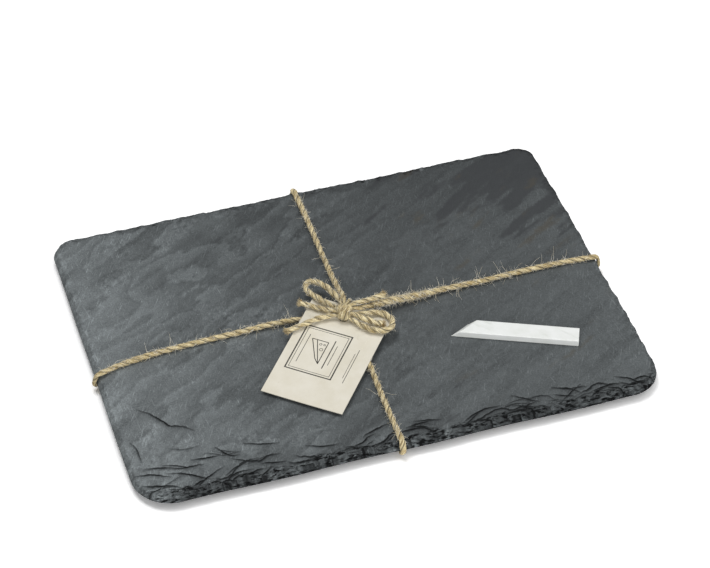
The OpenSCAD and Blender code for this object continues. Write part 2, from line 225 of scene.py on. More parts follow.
def sheet_faces(rows, columns):
    """Four-sided faces of a grid whose points run along its rows."""
    index = np.arange(rows * columns).reshape(rows, columns)
    return np.stack([index[:-1, :-1], index[:-1, 1:], index[1:, 1:], index[1:, :-1]], axis=-1).reshape(-1, 4)


def hoop_faces(rings, sides, closed=False):
    """Four-sided faces of a tube whose points run round its rings. A closed one joins its last ring to its
    first."""
    i = np.arange(rings if closed else rings - 1)[:, None]
    k = np.arange(sides)[None, :]
    a, b = i * sides + k, i * sides + (k + 1) % sides
    c, d = (i + 1) % rings * sides + (k + 1) % sides, (i + 1) % rings * sides + k
    return np.stack([a, b, c, d], axis=-1).reshape(-1, 4)


def tube(rings):
    """Points and faces of a tube from its rings of points, with a fan to the middle over each end."""
    count, sides = rings.shape[:2]
    points = np.concatenate([rings.reshape(-1, 3), rings[:1].mean(axis=1), rings[-1:].mean(axis=1)])
    k = np.arange(sides)
    ahead, last = (k + 1) % sides, (count - 1) * sides
    start = np.stack([np.full(sides, count * sides), ahead, k], axis=-1)
    end = np.stack([np.full(sides, count * sides + 1), last + k, last + ahead], axis=-1)
    return points, [hoop_faces(count, sides), start, end]


def joined(parts):
    """One list of points and one of faces from several."""
    points, faces, before = [], [], 0
    for some_points, some_faces in parts:
        points.append(some_points)
        faces += [f + before for f in some_faces]
        before += len(some_points)
    return np.concatenate(points), faces


# Materials

NOISE, RANGE, MIX, MATH = "ShaderNodeTexNoise", "ShaderNodeMapRange", "ShaderNodeMix", "ShaderNodeMath"
MAPPING, BUMP, ATTRIBUTE = "ShaderNodeMapping", "ShaderNodeBump", "ShaderNodeAttribute"
# Direction of the slate's grain, turned from the X axis
SPLIT_TURN = math.radians(30.5)
# How strong the finer layers of the materials' noise are
LAYER_STRENGTH = 0.58
# The black of the shade painted under a cleft edge and on the broken rim and walls, and of broken stone
# itself
CRACK_AND_SHADE_BLACK = "#0B0C0D"


def colour(code):
    """A linear colour from an sRGB hex code."""
    parts = [int(code[i:i + 2], 16) / 255 for i in (1, 3, 5)]
    return [p / 12.92 if p <= 0.04045 else ((p + 0.055) / 1.055) ** 2.4 for p in parts] + [1.0]


def add(tree, kind, inputs=(), **settings):
    """Adds a node. settings are its own properties. inputs gives its sockets values, or links them to another
    node's output, which is its first one where the node itself is given."""
    node = tree.nodes.new(kind)
    for key, value in settings.items():
        setattr(node, key, value)
    for key, value in dict(inputs).items():
        if isinstance(value, bpy.types.Node):
            value = value.outputs[0]
        if isinstance(value, bpy.types.NodeSocket):
            tree.links.new(value, node.inputs[key])
        else:
            node.inputs[key].default_value = value
    return node


def emptied(owner):
    """The node tree of a material or world, emptied."""
    owner.use_nodes = True
    owner.node_tree.nodes.clear()
    return owner.node_tree


def new_material(name):
    """A material, its empty tree and, in the tree, the place on the object in millimetres."""
    material = bpy.data.materials.new(name)
    tree = emptied(material)
    place = {0: add(tree, "ShaderNodeTexCoord").outputs["Object"], 1: [1 / MM] * 3}
    return material, tree, add(tree, "ShaderNodeVectorMath", place, operation="MULTIPLY")


def shaded(material, inputs):
    """Puts a Principled shader with these inputs on the material's output."""
    shader = add(material.node_tree, "ShaderNodeBsdfPrincipled", inputs)
    add(material.node_tree, "ShaderNodeOutputMaterial", {"Surface": shader})
    return material


def pattern(tree, place, size, low, high, least, most, squeeze=1.0, turn=0.0, detail=4.0):
    """Noise with features size millimetres across, carried from low..high to least..most and held there. A
    squeeze below 1 draws them out along a direction turned from X. Returns it with the plain noise."""
    turned = add(tree, MAPPING, {"Vector": place, "Rotation": (0, 0, -turn)})
    drawn = add(tree, MAPPING, {"Vector": turned, "Scale": (squeeze, 1, 1)})
    grain = {"Vector": drawn, "Scale": 1 / size, "Detail": detail, "Roughness": LAYER_STRENGTH}
    grain = add(tree, NOISE, grain)
    held = {"Value": grain, "From Min": low, "From Max": high, "To Min": least, "To Max": most}
    return add(tree, RANGE, held), grain


def blotches(tree, place, base, code, size, low, high, most, squeeze=1.0, turn=0.0):
    """A colour laid over a base as strongly as a pattern says, from nothing at its low end."""
    share, grain = pattern(tree, place, size, low, high, 0.0, most, squeeze, turn)
    return add(tree, MIX, {0: share, 6: base, 7: colour(code)}, data_type="RGBA").outputs[2], grain


# Patterns of the slate: the noise's size, low and high end, the share of the tone that it adds at each, how
# it is drawn out, its direction and its detail
SLATE_PATTERNS = (
    # Slow clouds along the grain
    (34, 0.35, 0.65, -0.10, 0.10, 0.5, SPLIT_TURN, 4),
    # Mottle
    (4.2, 0.30, 0.70, -0.10, 0.10, 0.7, SPLIT_TURN, 5),
    # Fine grain
    (1.0, 0.30, 0.70, -0.27, 0.27, 1.0, 0.0, 4),
    # Dark smudges along the grain
    (9.0, 0.50, 0.60, 0.0, -0.20, 0.16, SPLIT_TURN, 6),
    # Pale scratches in two directions across it
    (0.9, 0.60, 0.72, 0.0, 0.75, 0.09, math.radians(62), 2),
    (0.9, 0.62, 0.74, 0.0, 0.65, 0.09, math.radians(97), 2),
    # Pale specks
    (0.95, 0.66, 0.78, 0.0, 0.75, 1.0, 0.0, 1),
)
# Attributes of the slate's mesh that say how far below a cleft edge a place lies, and how plain the edge is,
# for the shadow painted under it
CLEFTS = ("cleft_a", "cleft_b", "cleft_c", "leaf_edge")
# Painted shadow under such an edge: nothing above it, black as far as half a millimetre under it, then a
# shade that fades out
CLEFT_SHADES = ((-0.35, 0.0, 0, 1), (0.5, 1.7, 1, 0.35), (1.4, 4.5, 1, 0))


def split_slate():
    """Split slate, cleft along its grain and never polished: blue-grey and matte, with a painted fall-off of
    light across it, smudges along the grain, pale scratches and specks, brown stains, black shadow painted
    under each cleft edge, and painted shade with the dark of broken stone on the broken rim and walls."""
    material, tree, place = new_material("split_slate")
    share, heights = 1.0, []
    for size, low, high, least, most, squeeze, turn, detail in SLATE_PATTERNS:
        part, grain = pattern(tree, place, size, low, high, least, most, squeeze, turn, detail)
        share = add(tree, MATH, {0: share, 1: part}, operation="ADD")
        heights.append(grain)
    tone = add(tree, ATTRIBUTE, attribute_name="tone").outputs["Fac"]
    tone = add(tree, MATH, {0: tone, 1: share}, operation="MULTIPLY")
    base = {0: tone, 6: colour("#2F3132"), 7: colour("#9AA1A3")}
    base = add(tree, MIX, base, data_type="RGBA").outputs[2]
    for name, code in (("bruise", "#404244"), ("stain", "#544F45")):
        share = add(tree, ATTRIBUTE, attribute_name=name).outputs["Fac"]
        base = add(tree, MIX, {0: share, 6: base, 7: colour(code)}, data_type="RGBA").outputs[2]
    wobble, _ = pattern(tree, place, 3.0, 0.2, 0.8, -0.4, 0.4)
    dark = 0.0
    for name in CLEFTS:
        cleft = add(tree, ATTRIBUTE, attribute_name=name)
        parts = add(tree, "ShaderNodeSeparateXYZ", {0: cleft.outputs["Vector"]})
        below = add(tree, MATH, {0: parts, 1: wobble}, operation="ADD")
        line = parts.outputs[1]
        for low, high, least, most in CLEFT_SHADES:
            held = {"Value": below, "From Min": low, "From Max": high, "To Min": least, "To Max": most}
            line = add(tree, MATH, {0: line, 1: add(tree, RANGE, held)}, operation="MULTIPLY")
        dark = add(tree, MATH, {0: dark, 1: line}, operation="MAXIMUM")
    # Painted shade on the broken rim and walls, with the dark of broken stone, broken up by noise
    chip = add(tree, ATTRIBUTE, attribute_name="chip").outputs["Fac"]
    broken, _ = pattern(tree, place, 1.6, 0.40, 0.54, 0.05, 1.15, 0.35, detail=5)
    chipped = add(tree, MATH, {0: chip, 1: broken}, operation="MULTIPLY")
    dark = add(tree, MATH, {0: dark, 1: chipped}, operation="MAXIMUM")
    base = add(tree, MIX, {0: dark, 6: base, 7: colour(CRACK_AND_SHADE_BLACK)}, data_type="RGBA").outputs[2]
    mottle, fine = heights[1], heights[2]
    normal = add(tree, BUMP, {"Height": mottle, "Distance": 0.6 * MM, "Strength": 0.5})
    normal = add(tree, BUMP, {"Height": fine, "Distance": 0.25 * MM, "Strength": 0.6, "Normal": normal})
    cracks = {"Height": dark, "Distance": 0.3 * MM, "Strength": 0.5, "Normal": normal}
    normal = add(tree, BUMP, cracks, invert=True)
    # Dusty stone, which hardly shines
    return shaded(material, {
        "Base Color": base, "Normal": normal, "Roughness": 0.75, "IOR": 1.45, "Specular IOR Level": 0.12,
    })


def jute_fibre(name, light):
    """Jute: stiff pale gold bast fibres that lie along the plies, dull with a faint silk where they turn to
    the light, with painted shade in the groove between the plies."""
    material, tree, _ = new_material(name)
    lay = add(tree, ATTRIBUTE, attribute_name="lay").outputs["Vector"]
    drawn = add(tree, MAPPING, {"Vector": lay, "Scale": (1, 1, 0.09)})
    fibre = add(tree, NOISE, {"Vector": drawn, "Scale": 2.3, "Detail": 3.0})
    tuft = add(tree, NOISE, {"Vector": lay, "Scale": 0.4, "Detail": 3.0})
    groove = add(tree, ATTRIBUTE, attribute_name="groove").outputs["Fac"]
    base = colour(light)
    for value, low, high, most, code in (
        (fibre, 0.56, 0.38, 0.95, "#6B552B"),
        (tuft, 0.45, 0.68, 0.6, "#A88E52"),
        # Painted shade in the groove between the plies
        (groove, 0.2, 1, 0.92, "#352A16"),
    ):
        share = add(tree, RANGE, {"Value": value, "From Min": low, "From Max": high, "To Max": most})
        base = add(tree, MIX, {0: share, 6: base, 7: colour(code)}, data_type="RGBA").outputs[2]
    normal = add(tree, BUMP, {"Height": fibre, "Distance": 0.4 * MM, "Strength": 0.9})
    return shaded(material, {
        "Base Color": base, "Normal": normal, "Roughness": 0.8, "Sheen Weight": 0.15, "Sheen Roughness": 0.5,
    })


def mottled(name, base, layers, roughness, bump=(), relief=()):
    """A material of one colour with blotches of others. Where it has a bump, given as distance in millimetres
    and strength, its height is a pattern of its own, or else the last blotches' noise."""
    material, tree, place = new_material(name)
    base = colour(base)
    for layer in layers:
        base, height = blotches(tree, place, base, *layer)
    inputs = {"Base Color": base, "Roughness": roughness}
    if relief:
        height, _ = pattern(tree, place, *relief)
    if bump:
        inputs["Normal"] = add(tree, BUMP, {"Height": height, "Distance": bump[0] * MM, "Strength": bump[1]})
    return shaded(material, inputs)


SLATE = split_slate()
TWINE = jute_fibre("jute_twine", "#ECDCAF")
# A paler copy of the same jute for the bow and knot: painted light on the raised bow
LIT_BOW_TWINE = jute_fibre("jute_bow_lit", "#F3E5BA")
# Single jute fibres that stand off the twine, thin, pale and slightly silky, and duller ones at its cut ends
FUZZ = mottled("loose_jute_fibre", "#D8CBA8", [("#FAF6EA", 4, 0.35, 0.6, 1.0)], 0.6)
FRAY = mottled("cut_jute_fibre", "#A98A55", [("#DCCDA4", 4, 0.35, 0.6, 1.0)], 0.6)
# Uncoated natural card: warm cream, matte, with pulp flecks and a faint tooth
CARD = mottled("uncoated_card", "#DBD5C4", [
    ("#E3DED0", 14, 0.35, 0.65, 1.0), ("#A8987A", 0.9, 0.66, 0.78, 0.3, 0.4, 0.4),
    ("#F0ECE2", 0.5, 0.55, 0.75, 0.3),
], 0.85, bump=(0.05, 0.4))
# Matte black offset ink, a little broken by the card's tooth
INK = mottled("offset_ink", "#35342F", [("#7C786B", 0.6, 0.5, 0.8, 1.0)], 0.7)
# Soapstone, a soft talc stone sawn to a stick: chalky white with faint grey-green veins, waxy where it is
# smooth, with fine saw lines along its length
SOAPSTONE = mottled("sawn_soapstone", "#F1F3F1", [
    ("#E6E9E4", 9, 0.40, 0.75, 0.9), ("#CBD0C7", 6, 0.60, 0.70, 0.3, 0.25, -0.9),
], 0.45, bump=(0.03, 0.4), relief=(0.5, 0.2, 0.8, 0, 1, 0.02, -0.417, 2))
# Moulded rubber of a stick-on foot: near black, matte, dusty, with the fine pits of its mould
RUBBER = mottled(
    "moulded_rubber", "#252627", [("#4A4A48", 3, 0.45, 0.75, 0.35)], 0.75, (0.06, 0.5), (0.4, 0.2, 0.8, 0, 1))
# Acrylic foam tape: milky, matte, with the fine cells of the foam at its cut rim
TAPE = mottled("acrylic_foam_tape", "#CFCCC1", [("#E0DDD4", 0.5, 0.35, 0.7, 1.0)], 0.6, (0.08, 0.5))


# Board's edge, as the frame was built

# How deep the scallops are and how far the edge slopes in, for the right, rear, left and front side
ROUGH_SHARES = (0.75, 0.7, 0.3, 1.0)
SLOPE_SHARES = (0.5, 0.45, 1.0, 1.0)
EDGE_SLOPE = 4.0
# Even layers, under one thin leaf
LAYERS, LEAF_THICK = 3, 0.7
BODY_LAYER = (TOP_Z - STAND_OFF - LEAF_THICK) / LAYERS
# Depth and length of the outline's long wave, and length of a scallop
WANDER, WANDER_LENGTH, SCALLOP_LENGTH = 1.6, 97.0, 19.0
# Depth and half length of the largest flake along the front edge, then for each flake its place, as a share
# of the board's half length, and its shares of that depth and length
FLAKE_DEPTH, FLAKE_LENGTH = 13.0, 46.0
FLAKE_SHARES = ((-0.52, 1, 1), (-0.13, 0.5, 0.7), (0.36, 0.45, 0.8), (0.74, 0.6, 0.7))


def side_share(shares, facing):
    """The share of the right, rear, left and front side that holds where the outline faces a direction."""
    nx, ny = facing
    return (
        np.where(nx > 0, shares[0], shares[2]) * nx**2 + np.where(ny > 0, shares[1], shares[3]) * ny**2
    )


def layer_insets(x, y, facing):
    """How far each layer lies in from the full outline at a place on it: a long wave for the lowest, and for
    each one above it half an even step and as much again times the scallops, |sin| of the place along the
    diagonal."""
    rough = side_share(ROUGH_SHARES, facing)
    step = side_share(SLOPE_SHARES, facing) * EDGE_SLOPE / LAYERS
    wander = WANDER * (2 - wave(360 * x / WANDER_LENGTH + 40) - wave(360 * y / WANDER_LENGTH - 70)) / 4
    insets = [rough * wander]
    for layer in range(1, LAYERS + 1):
        phase = 77 * layer
        warp = SCALLOP_LENGTH * wave(180 * (x - y) / WANDER_LENGTH + phase) / 2
        scallop = np.abs(wave(180 * (x + y + warp) / SCALLOP_LENGTH + phase))
        insets.append(insets[-1] + step * (0.5 + rough * scallop))
    return insets


def flaked_back(x, facing):
    """How far the top leaf has flaked back from the front edge: cos² humps, the largest one counting."""
    humps = []
    for place, depth, length in FLAKE_SHARES:
        reach = np.abs((x - place * HALF_LENGTH) / (length * FLAKE_LENGTH))
        humps.append(depth * np.where(reach < 1, wave(90 * (1 - reach)) ** 2, 0))
    return np.where(facing[1] < 0, facing[1] ** 2, 0) * FLAKE_DEPTH * np.max(humps, axis=0)


# Twine

# Distance between two rings of a strand, and the points round a ring
RING_STEP, STRAND_SIDES = 0.55, 18
# Length in which the two plies go once round each other
LAY_LENGTH = 15.6
# Each ply's middle and radius, of the strand's radius
PLY_OUT_SHARE, PLY_SHARE = 0.22, 0.86
# Fine ridges along the plies: height, how many go round, how far they drift and over what length
RIDGES = ((0.03, 5, 2, 6), (0.025, 8, 3, 9))
# How far above the slate the loose fibres stay, and the highest that they rise
FIBRE_GAP, FIBRE_TOP = 0.15, 28.9
# The fibres of the bow's ends and of its loops stay above the tag, which turns under them
BOW_FIBRE_FLOOR, LOOP_FIBRE_FLOOR = TAG_PIVOT[2] + 0.6, TAG_PIVOT[2] + 1.9


def smooth_route(points, step):
    """A smooth curve through a route's points, in even steps, with its running length. Between two points it
    is the cubic with a slope at each that weighs the two chords there, the shorter one more, and that reaches
    no further than twice the shorter one. Columns after the third, shares of the twine's width, follow."""
    points = np.array(points, dtype=float)
    chord = np.linalg.norm(np.diff(points[:, :3], axis=0), axis=1)[:, None]
    rise = np.diff(points, axis=0) / chord
    middle = (rise[:-1] * chord[1:] + rise[1:] * chord[:-1]) / (chord[:-1] + chord[1:])
    slope = np.concatenate([rise[:1], middle, rise[-1:]])
    shorter = np.concatenate([chord[:1], np.minimum(chord[:-1], chord[1:]), chord[-1:]])
    knots = np.concatenate([[0], np.cumsum(chord[:, 0])])
    at = np.linspace(0, knots[-1], int(knots[-1] / step * 4) + 2)
    i = np.clip(np.searchsorted(knots, at, side="right") - 1, 0, len(chord) - 1)
    t = (at - knots[i])[:, None] / chord[i]
    leaving = np.minimum(chord[i], 2 * shorter[i]) * slope[i]
    arriving = np.minimum(chord[i], 2 * shorter[i + 1]) * slope[i + 1]
    curve = (
        (2 * t**3 - 3 * t**2 + 1) * points[i] + (t**3 - 2 * t**2 + t) * leaving
        + (3 * t**2 - 2 * t**3) * points[i + 1] + (t**3 - t**2) * arriving
    )
    run = np.concatenate([[0], np.cumsum(np.linalg.norm(np.diff(curve[:, :3], axis=0), axis=1))])
    even = np.linspace(0, run[-1], int(round(run[-1] / step)) + 1)
    return np.stack([np.interp(even, run, column) for column in curve.T], axis=1), even


class Strand:
    """A strand of two-ply twine along a route. Round its middle the radius at an angle is that of two circles
    side by side, 0.22|cos| + sqrt(0.86² − 0.22² sin²) of the strand's own, and the pair turns as it goes
    along. Fine ridges and a slow swelling stand for its fibres."""

    def __init__(self, route, wide_axis, seed, turn=0.0, closed=False, fuller=1.0):
        path, self.run = smooth_route(route, RING_STEP)
        self.length = self.run[-1]
        self.along = unit(np.gradient(path[:, :3], axis=0))
        if closed:
            path, self.run = path[:-1], self.run[:-1]
            self.along = unit(np.roll(path[:, :3], -1, axis=0) - np.roll(path[:, :3], 1, axis=0))
        self.middle = path[:, :3]
        self.closed = closed
        wide_axis = np.array(wide_axis, dtype=float)
        self.wide = unit(wide_axis - (self.along @ wide_axis)[:, None] * self.along)
        self.thin = np.cross(self.along, self.wide)
        self.radii = fuller * TWINE_D / 2 * path[:, [3, -1]]
        angle = (np.arange(STRAND_SIDES) + 0.5) * 2 * math.pi / STRAND_SIDES
        pitch = self.length / max(round(self.length / LAY_LENGTH), 1) if closed else LAY_LENGTH
        lobe = angle[None, :] - turn - (2 * math.pi * self.run / pitch)[:, None]
        aside = PLY_OUT_SHARE * np.sin(lobe)
        ply = PLY_OUT_SHARE * np.abs(np.cos(lobe)) + np.sqrt(PLY_SHARE**2 - aside**2)
        still = np.zeros_like(self.run)
        ridges = 0
        for height, count, drift, size in RIDGES:
            drift = drift * (2.2 * noise(self.run / size, still + seed, seed + size)[:, None])
            ridges = ridges + height * np.sin(count * lobe + drift)
        swell = 0.98 + 0.07 * noise(self.run / 11, still, seed + 3)
        swell = swell + 0.05 * noise(self.run / 3, still, seed + 5)
        size = ply * (1 + ridges) * swell[:, None]
        self.rings = (
            self.middle[:, None]
            + (self.radii[:, :1] * size * np.cos(angle))[:, :, None] * self.wide[:, None]
            + (self.radii[:, 1:] * size * np.sin(angle))[:, :, None] * self.thin[:, None]
        )
        run = np.broadcast_to(self.run[:, None], lobe.shape)
        self.lay = np.stack([1.8 * np.cos(lobe), 1.8 * np.sin(lobe), run], axis=-1).reshape(-1, 3)
        self.groove = smooth(0.97, 0.83, ply).ravel()

    def mesh(self):
        if self.closed:
            return self.rings.reshape(-1, 3), [hoop_faces(len(self.rings), STRAND_SIDES, closed=True)]
        return tube(self.rings)

    def attributes(self):
        """The place in the plies and how deep in the groove it lies, for the material."""
        if self.closed:
            return self.lay, self.groove
        ends = self.lay[[0, -1]] * [0, 0, 1]
        return np.concatenate([self.lay, ends]), np.concatenate([self.groove, [0.8, 0.8]])

    def outward(self, i, rng):
        """Random directions square to the strand, one at each of its places i."""
        angle = rng.uniform(0, 2 * math.pi, len(i))[:, None]
        return np.cos(angle) * self.wide[i] + np.sin(angle) * self.thin[i]


def hairs(roots, ways, lengths, rng, radius=0.11, curl=0.55, steps=6, lowest=TOP_Z + FIBRE_GAP):
    """Loose fibres, each a fine three-sided tube along root + way·length·t + bend·length·curl·t², swayed a
    little by sin 5t, that tapers to its tip. They are as thick as it takes to show, about three times a real
    fibre, and lie on what is under them."""
    count = len(roots)
    t = np.linspace(0, 1, steps)[None, :, None]
    bend = unit(np.cross(ways, rng.normal(size=(count, 3))))
    sway = unit(np.cross(ways, bend))
    lengths = lengths[:, None, None]
    line = (
        roots[:, None] + ways[:, None] * lengths * t + bend[:, None] * lengths * curl * t**2
        + sway[:, None] * lengths * 0.14 * np.sin(5 * t)
    )
    line[..., 2] = np.clip(line[..., 2], lowest, FIBRE_TOP)
    along = unit(np.gradient(line, axis=1))
    across = unit(np.cross(along, sway[:, None] + 0.01))
    third = np.cross(along, across)
    angle = np.arange(3) * 2 * math.pi / 3
    thick = radius * (1 - 0.7 * t[..., None] ** 2)
    rings = line[:, :, None] + thick * (
        np.cos(angle)[:, None] * across[:, :, None] + np.sin(angle)[:, None] * third[:, :, None]
    )
    offset = (np.arange(count) * steps * 3)[:, None, None]
    tip = (steps - 1) * 3
    caps = np.array([[2, 1, 0], [tip, tip + 1, tip + 2]])
    faces = [(hoop_faces(steps, 3) + offset).reshape(-1, 4), (caps + offset).reshape(-1, 3)]
    return rings.reshape(-1, 3), faces


def fuzz_on(strand, per_mm, low, high, rng, part=(0.0, math.inf), spread=0.8, upward=0.0, **how):
    """Hairs that leave a strand at random places and slant along it, per_mm of them to a millimetre of the
    part from one running length to another."""
    start, end = part[0], min(part[1], strand.length)
    count = int((end - start) * per_mm)
    places = rng.uniform(start, end, count) / strand.length * (len(strand.middle) - 1)
    i = places.astype(int)
    out = strand.outward(i, rng)
    roots = strand.middle[i] + 0.8 * strand.radii[i, :1] * out
    side = rng.choice([-1.0, 1.0], count)[:, None]
    ways = unit(spread * out + side * strand.along[i] + 0.25 * rng.normal(size=(count, 3)) + [0, 0, upward])
    return hairs(roots, ways, low + (high - low) * rng.uniform(0, 1, count) ** 2, rng, **how)


def fray_on(strand, count, rng, low=1.0, high=3.6, **how):
    """The frayed fibres of a cut end: hairs that leave the end's whole face along the strand and spread."""
    i = np.full(count, -1)
    out = strand.outward(i, rng)
    reach = np.sqrt(rng.uniform(0, 1, count))[:, None]
    roots = strand.middle[i] + 0.88 * strand.radii[i, :1] * reach * out - 0.8 * strand.along[i]
    ways = unit(strand.along[i] + 0.45 * reach * out + 0.12 * rng.normal(size=(count, 3)))
    return hairs(roots, ways, rng.uniform(low, high, count), rng, radius=0.12, curl=0.25, **how)


def strand_piece(name, strands, node, material):
    """One piece of several strands, in place of a node."""
    points, faces = joined([s.mesh() for s in strands])
    lay, groove = (np.concatenate(some) for some in zip(*[s.attributes() for s in strands]))
    obj = add_piece(name, points, faces, material, "root", "jute_twine", {"lay": lay, "groove": groove})
    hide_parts(node)
    return obj


def fibre_piece(name, parts, material):
    return add_piece(name, *joined(parts), material, "root", "jute_twine")


def from_knot(route):
    """A route that is given from the middle of the knot."""
    return [[*(np.array(p[:3]) + KNOT), *p[3:]] for p in route]


def over_slate(route):
    """A route whose heights are given from the twine's run on the slate."""
    return [[x, y, TOP_RUN + z, share] for x, y, z, share in route]


# Routes of the bow from the middle of the knot, each with the share of the twine's width that it has there.
# The upper left end and the one along the arm start deeper in the knot than their solids do
BOW_ROUTES = {
    "loop_left": [
        [1, 4.6, -1, 0.5], [1.2, 8.5, -1, 0.65], [1, 13.5, -1, 0.8], [-1.4, 21, -0.9, 1],
        [-3.6, 27.5, -1, 1], [-6.2, 32, -1.3, 1], [-8.8, 35.2, -1.6, 1], [-11.8, 36.8, -1.9, 1],
        [-14.8, 36.2, -2.1, 1], [-16.6, 33.4, -2.1, 1], [-17, 29.8, -1.9, 1], [-15.8, 26, -1.7, 1],
        [-13.6, 21.8, -1.4, 1], [-11, 17.2, -1.1, 1], [-8.2, 12.8, -0.7, 0.95], [-5.6, 8.8, -0.3, 0.8],
        [-3.2, 5.4, 0.2, 0.65], [-1.6, 3.4, 0.5, 0.5],
    ],
    "loop_right": [
        [2.6, -0.9, -1.2, 0.5], [5, -1.8, -1.4, 0.65], [9, -3, -1.6, 0.85], [14, -3.6, -1.7, 1],
        [19.2, -4.4, -1.8, 1], [23.6, -6.2, -1.9, 1], [26.8, -9.4, -2, 1], [28.4, -13.4, -2.1, 1],
        [28, -17.6, -2.2, 1], [25.6, -20.8, -2.2, 1], [22, -22.2, -2.2, 1], [17.8, -21.6, -2.2, 1],
        [13.6, -19.4, -2.1, 1], [10, -16.2, -2, 1], [7.2, -12.8, -1.9, 0.95], [4.8, -9.2, -1.7, 0.8],
        [2.6, -6.2, -1.4, 0.65], [0.6, -4, -1.2, 0.5],
    ],
    "end_left_upper": [
        [-1, -0.8, 0, 0.5], [-3, 0.9, -0.4, 0.5], [-5.6, 3.6, -1, 0.7], [-9.6, 7, -1.6, 0.95],
        [-14.4, 11, -2, 1], [-19.6, 15.4, -2.2, 1], [-24.6, 19, -2.2, 1.1],
    ],
    "end_left_lower": [
        [-3, -1.6, -1, 0.5], [-6.6, 0.2, -1.5, 0.7], [-12, 1.6, -2, 0.95], [-19, 1.6, -2.3, 1],
        [-26.4, 0.2, -2.7, 1], [-33.6, -1, -3.2, 1], [-40.4, -2.4, -3.6, 1.1],
    ],
    "end_along_arm": [
        [0, 1.2, 2, 0.5], [2, 1.8, 2.8, 0.5], [6.4, 2.4, 3.6, 0.75], [12, 2.6, 3.6, 0.95],
        [18.2, 3.6, 2.8, 1], [24.4, 5.4, 1.7, 1.05], [29.6, 7.2, 0.9, 1.3],
    ],
    "end_right": [
        [2.6, -2.4, 0.6, 0.5], [5.2, -4.6, 0.8, 0.7], [9, -8.2, 0.2, 0.95], [13.6, -11.8, -0.6, 1],
        [18, -14.6, -1.4, 1], [21.4, -16.8, -1.8, 1.1],
    ],
}
STUB_ROUTE = [[1.6, 3.4, 2, 0.62], [4, 5.4, 2.8, 0.66], [6.4, 7.2, 3, 0.62]]

# Arms of the two turns round the board
RIGHT_ARM_ROUTE = from_knot([
    [3.4, 1.6, 0.5, 0.5], [7, 1.4, 0.4, 0.75], [12, 1, -0.3, 1], [18, 2, -1.4, 1.05],
]) + over_slate([
    [18, -7, 5.8, 1.25], [26.5, -5, 4.1, 1.35], [37, -4.1, 2.6, 1.35], [48, -3.4, 1.6, 1.25],
    [62, -2.2, 1, 1.05], [76, -1.9, 0.7, 1], [92, -1.5, 0.2, 1], [125, -0.4, 0, 1], [155, -0.6, 0, 1],
])
LEFT_ARM_ROUTE = over_slate([
    [-164, -6.4, 0, 1], [-140, -2.6, 0, 1], [-110, -0.6, 0, 1], [-77, 0.3, 0, 1], [-50, 0.2, 0.9, 1],
    [-30, -2.6, 1.4, 1], [KNOT[0] - 5, KNOT[1] + 2.4, 1.5, 1], [KNOT[0] - 2.8, KNOT[1] + 1.2, 1.5, 1],
])
REAR_ARM_ROUTE = from_knot([[2, 4.6, 1.6, 0.5], [3, 9.5, 1.6, 0.7], [3.8, 15, 0.7, 0.9]]) + over_slate([
    [-4.6, 10.5, 7.6, 1], [-4.2, 33, 4.4, 1], [-2.8, 62, 1.6, 1], [-1.8, 92, 0, 1],
])
FRONT_ARM_ROUTE = over_slate([
    [-6.4, -104, 0, 1], [-5.8, -78, 0, 1], [-5, -55, 0.6, 1], [KNOT[0] + 3, KNOT[1] - 15, 1.4, 1],
    [KNOT[0] + 1, KNOT[1] - 5, 1.5, 1], [KNOT[0] + 0.5, KNOT[1] - 2.8, 1.5, 1],
])

# Where the turns go over the edges: the left and right ones along Y, the rear and front ones along X
LEFT_EDGE_Y, RIGHT_EDGE_Y, REAR_EDGE_X, FRONT_EDGE_X = -9.5, -2.0, -1.8, -6.5
# How far inside the edge the bend has its centres, and how thin and wide the twine is pressed there
BEND_INSET = 0.6
BEND_THIN, BEND_WIDE = 0.72, 1.12
BEND_R = BEND_THIN * TWINE_D / 2 + BEND_INSET * math.sqrt(2) + 0.15
# The two turns press each other flat where they cross under the board, a hair's breadth apart
CROSS_X, CROSS_Y = (REAR_EDGE_X + FRONT_EDGE_X) / 2, (LEFT_EDGE_Y + RIGHT_EDGE_Y) / 2
CROSS_GAP = 0.05
CROSS_THICK = (STAND_OFF - 0.6) / 2 - CROSS_GAP
CROSS_UPPER_Z = STAND_OFF - CROSS_GAP - CROSS_THICK / 2
CROSS_LOWER_Z = CROSS_UPPER_Z - CROSS_THICK - CROSS_GAP
CROSS_SHARE = CROSS_THICK / TWINE_D
CROSS_RAMP = 6 * TWINE_D


def turn_over(way, edge, place):
    """The points of a turn over an edge that faces the unit direction way, at a place along it: an arc round
    a centre inside the top edge, then one round a centre inside the bottom edge."""
    side = (-way[1], way[0])
    foot = edge - layer_insets(edge * way[0] + place * side[0], edge * way[1] + place * side[1], way)[0]
    top = np.array([-0.5 * side_share(SLOPE_SHARES, way) * EDGE_SLOPE - BEND_INSET, TOP_Z - BEND_INSET])
    low = np.array([-BEND_INSET, STAND_OFF + BEND_INSET])
    lean = math.atan2(low[0] - top[0], top[1] - low[1])
    square = math.pi / 2
    turns = [(top, square + (lean - square) * k / 2) for k in range(3)]
    turns += [(low, lean - (lean + square) * k / 3) for k in range(4)]
    points = []
    for centre, a in turns:
        out = foot + centre[0] + BEND_R * math.cos(a)
        x, y = out * way[0] + place * side[0], out * way[1] + place * side[1]
        points.append([x, y, centre[1] + BEND_R * math.sin(a), BEND_WIDE, BEND_THIN])
    return points


def with_thickness(route):
    """The same points with the thickness share after the width share, equal to it where none is given."""
    return [p if len(p) > 4 else [*p, p[3]] for p in route]


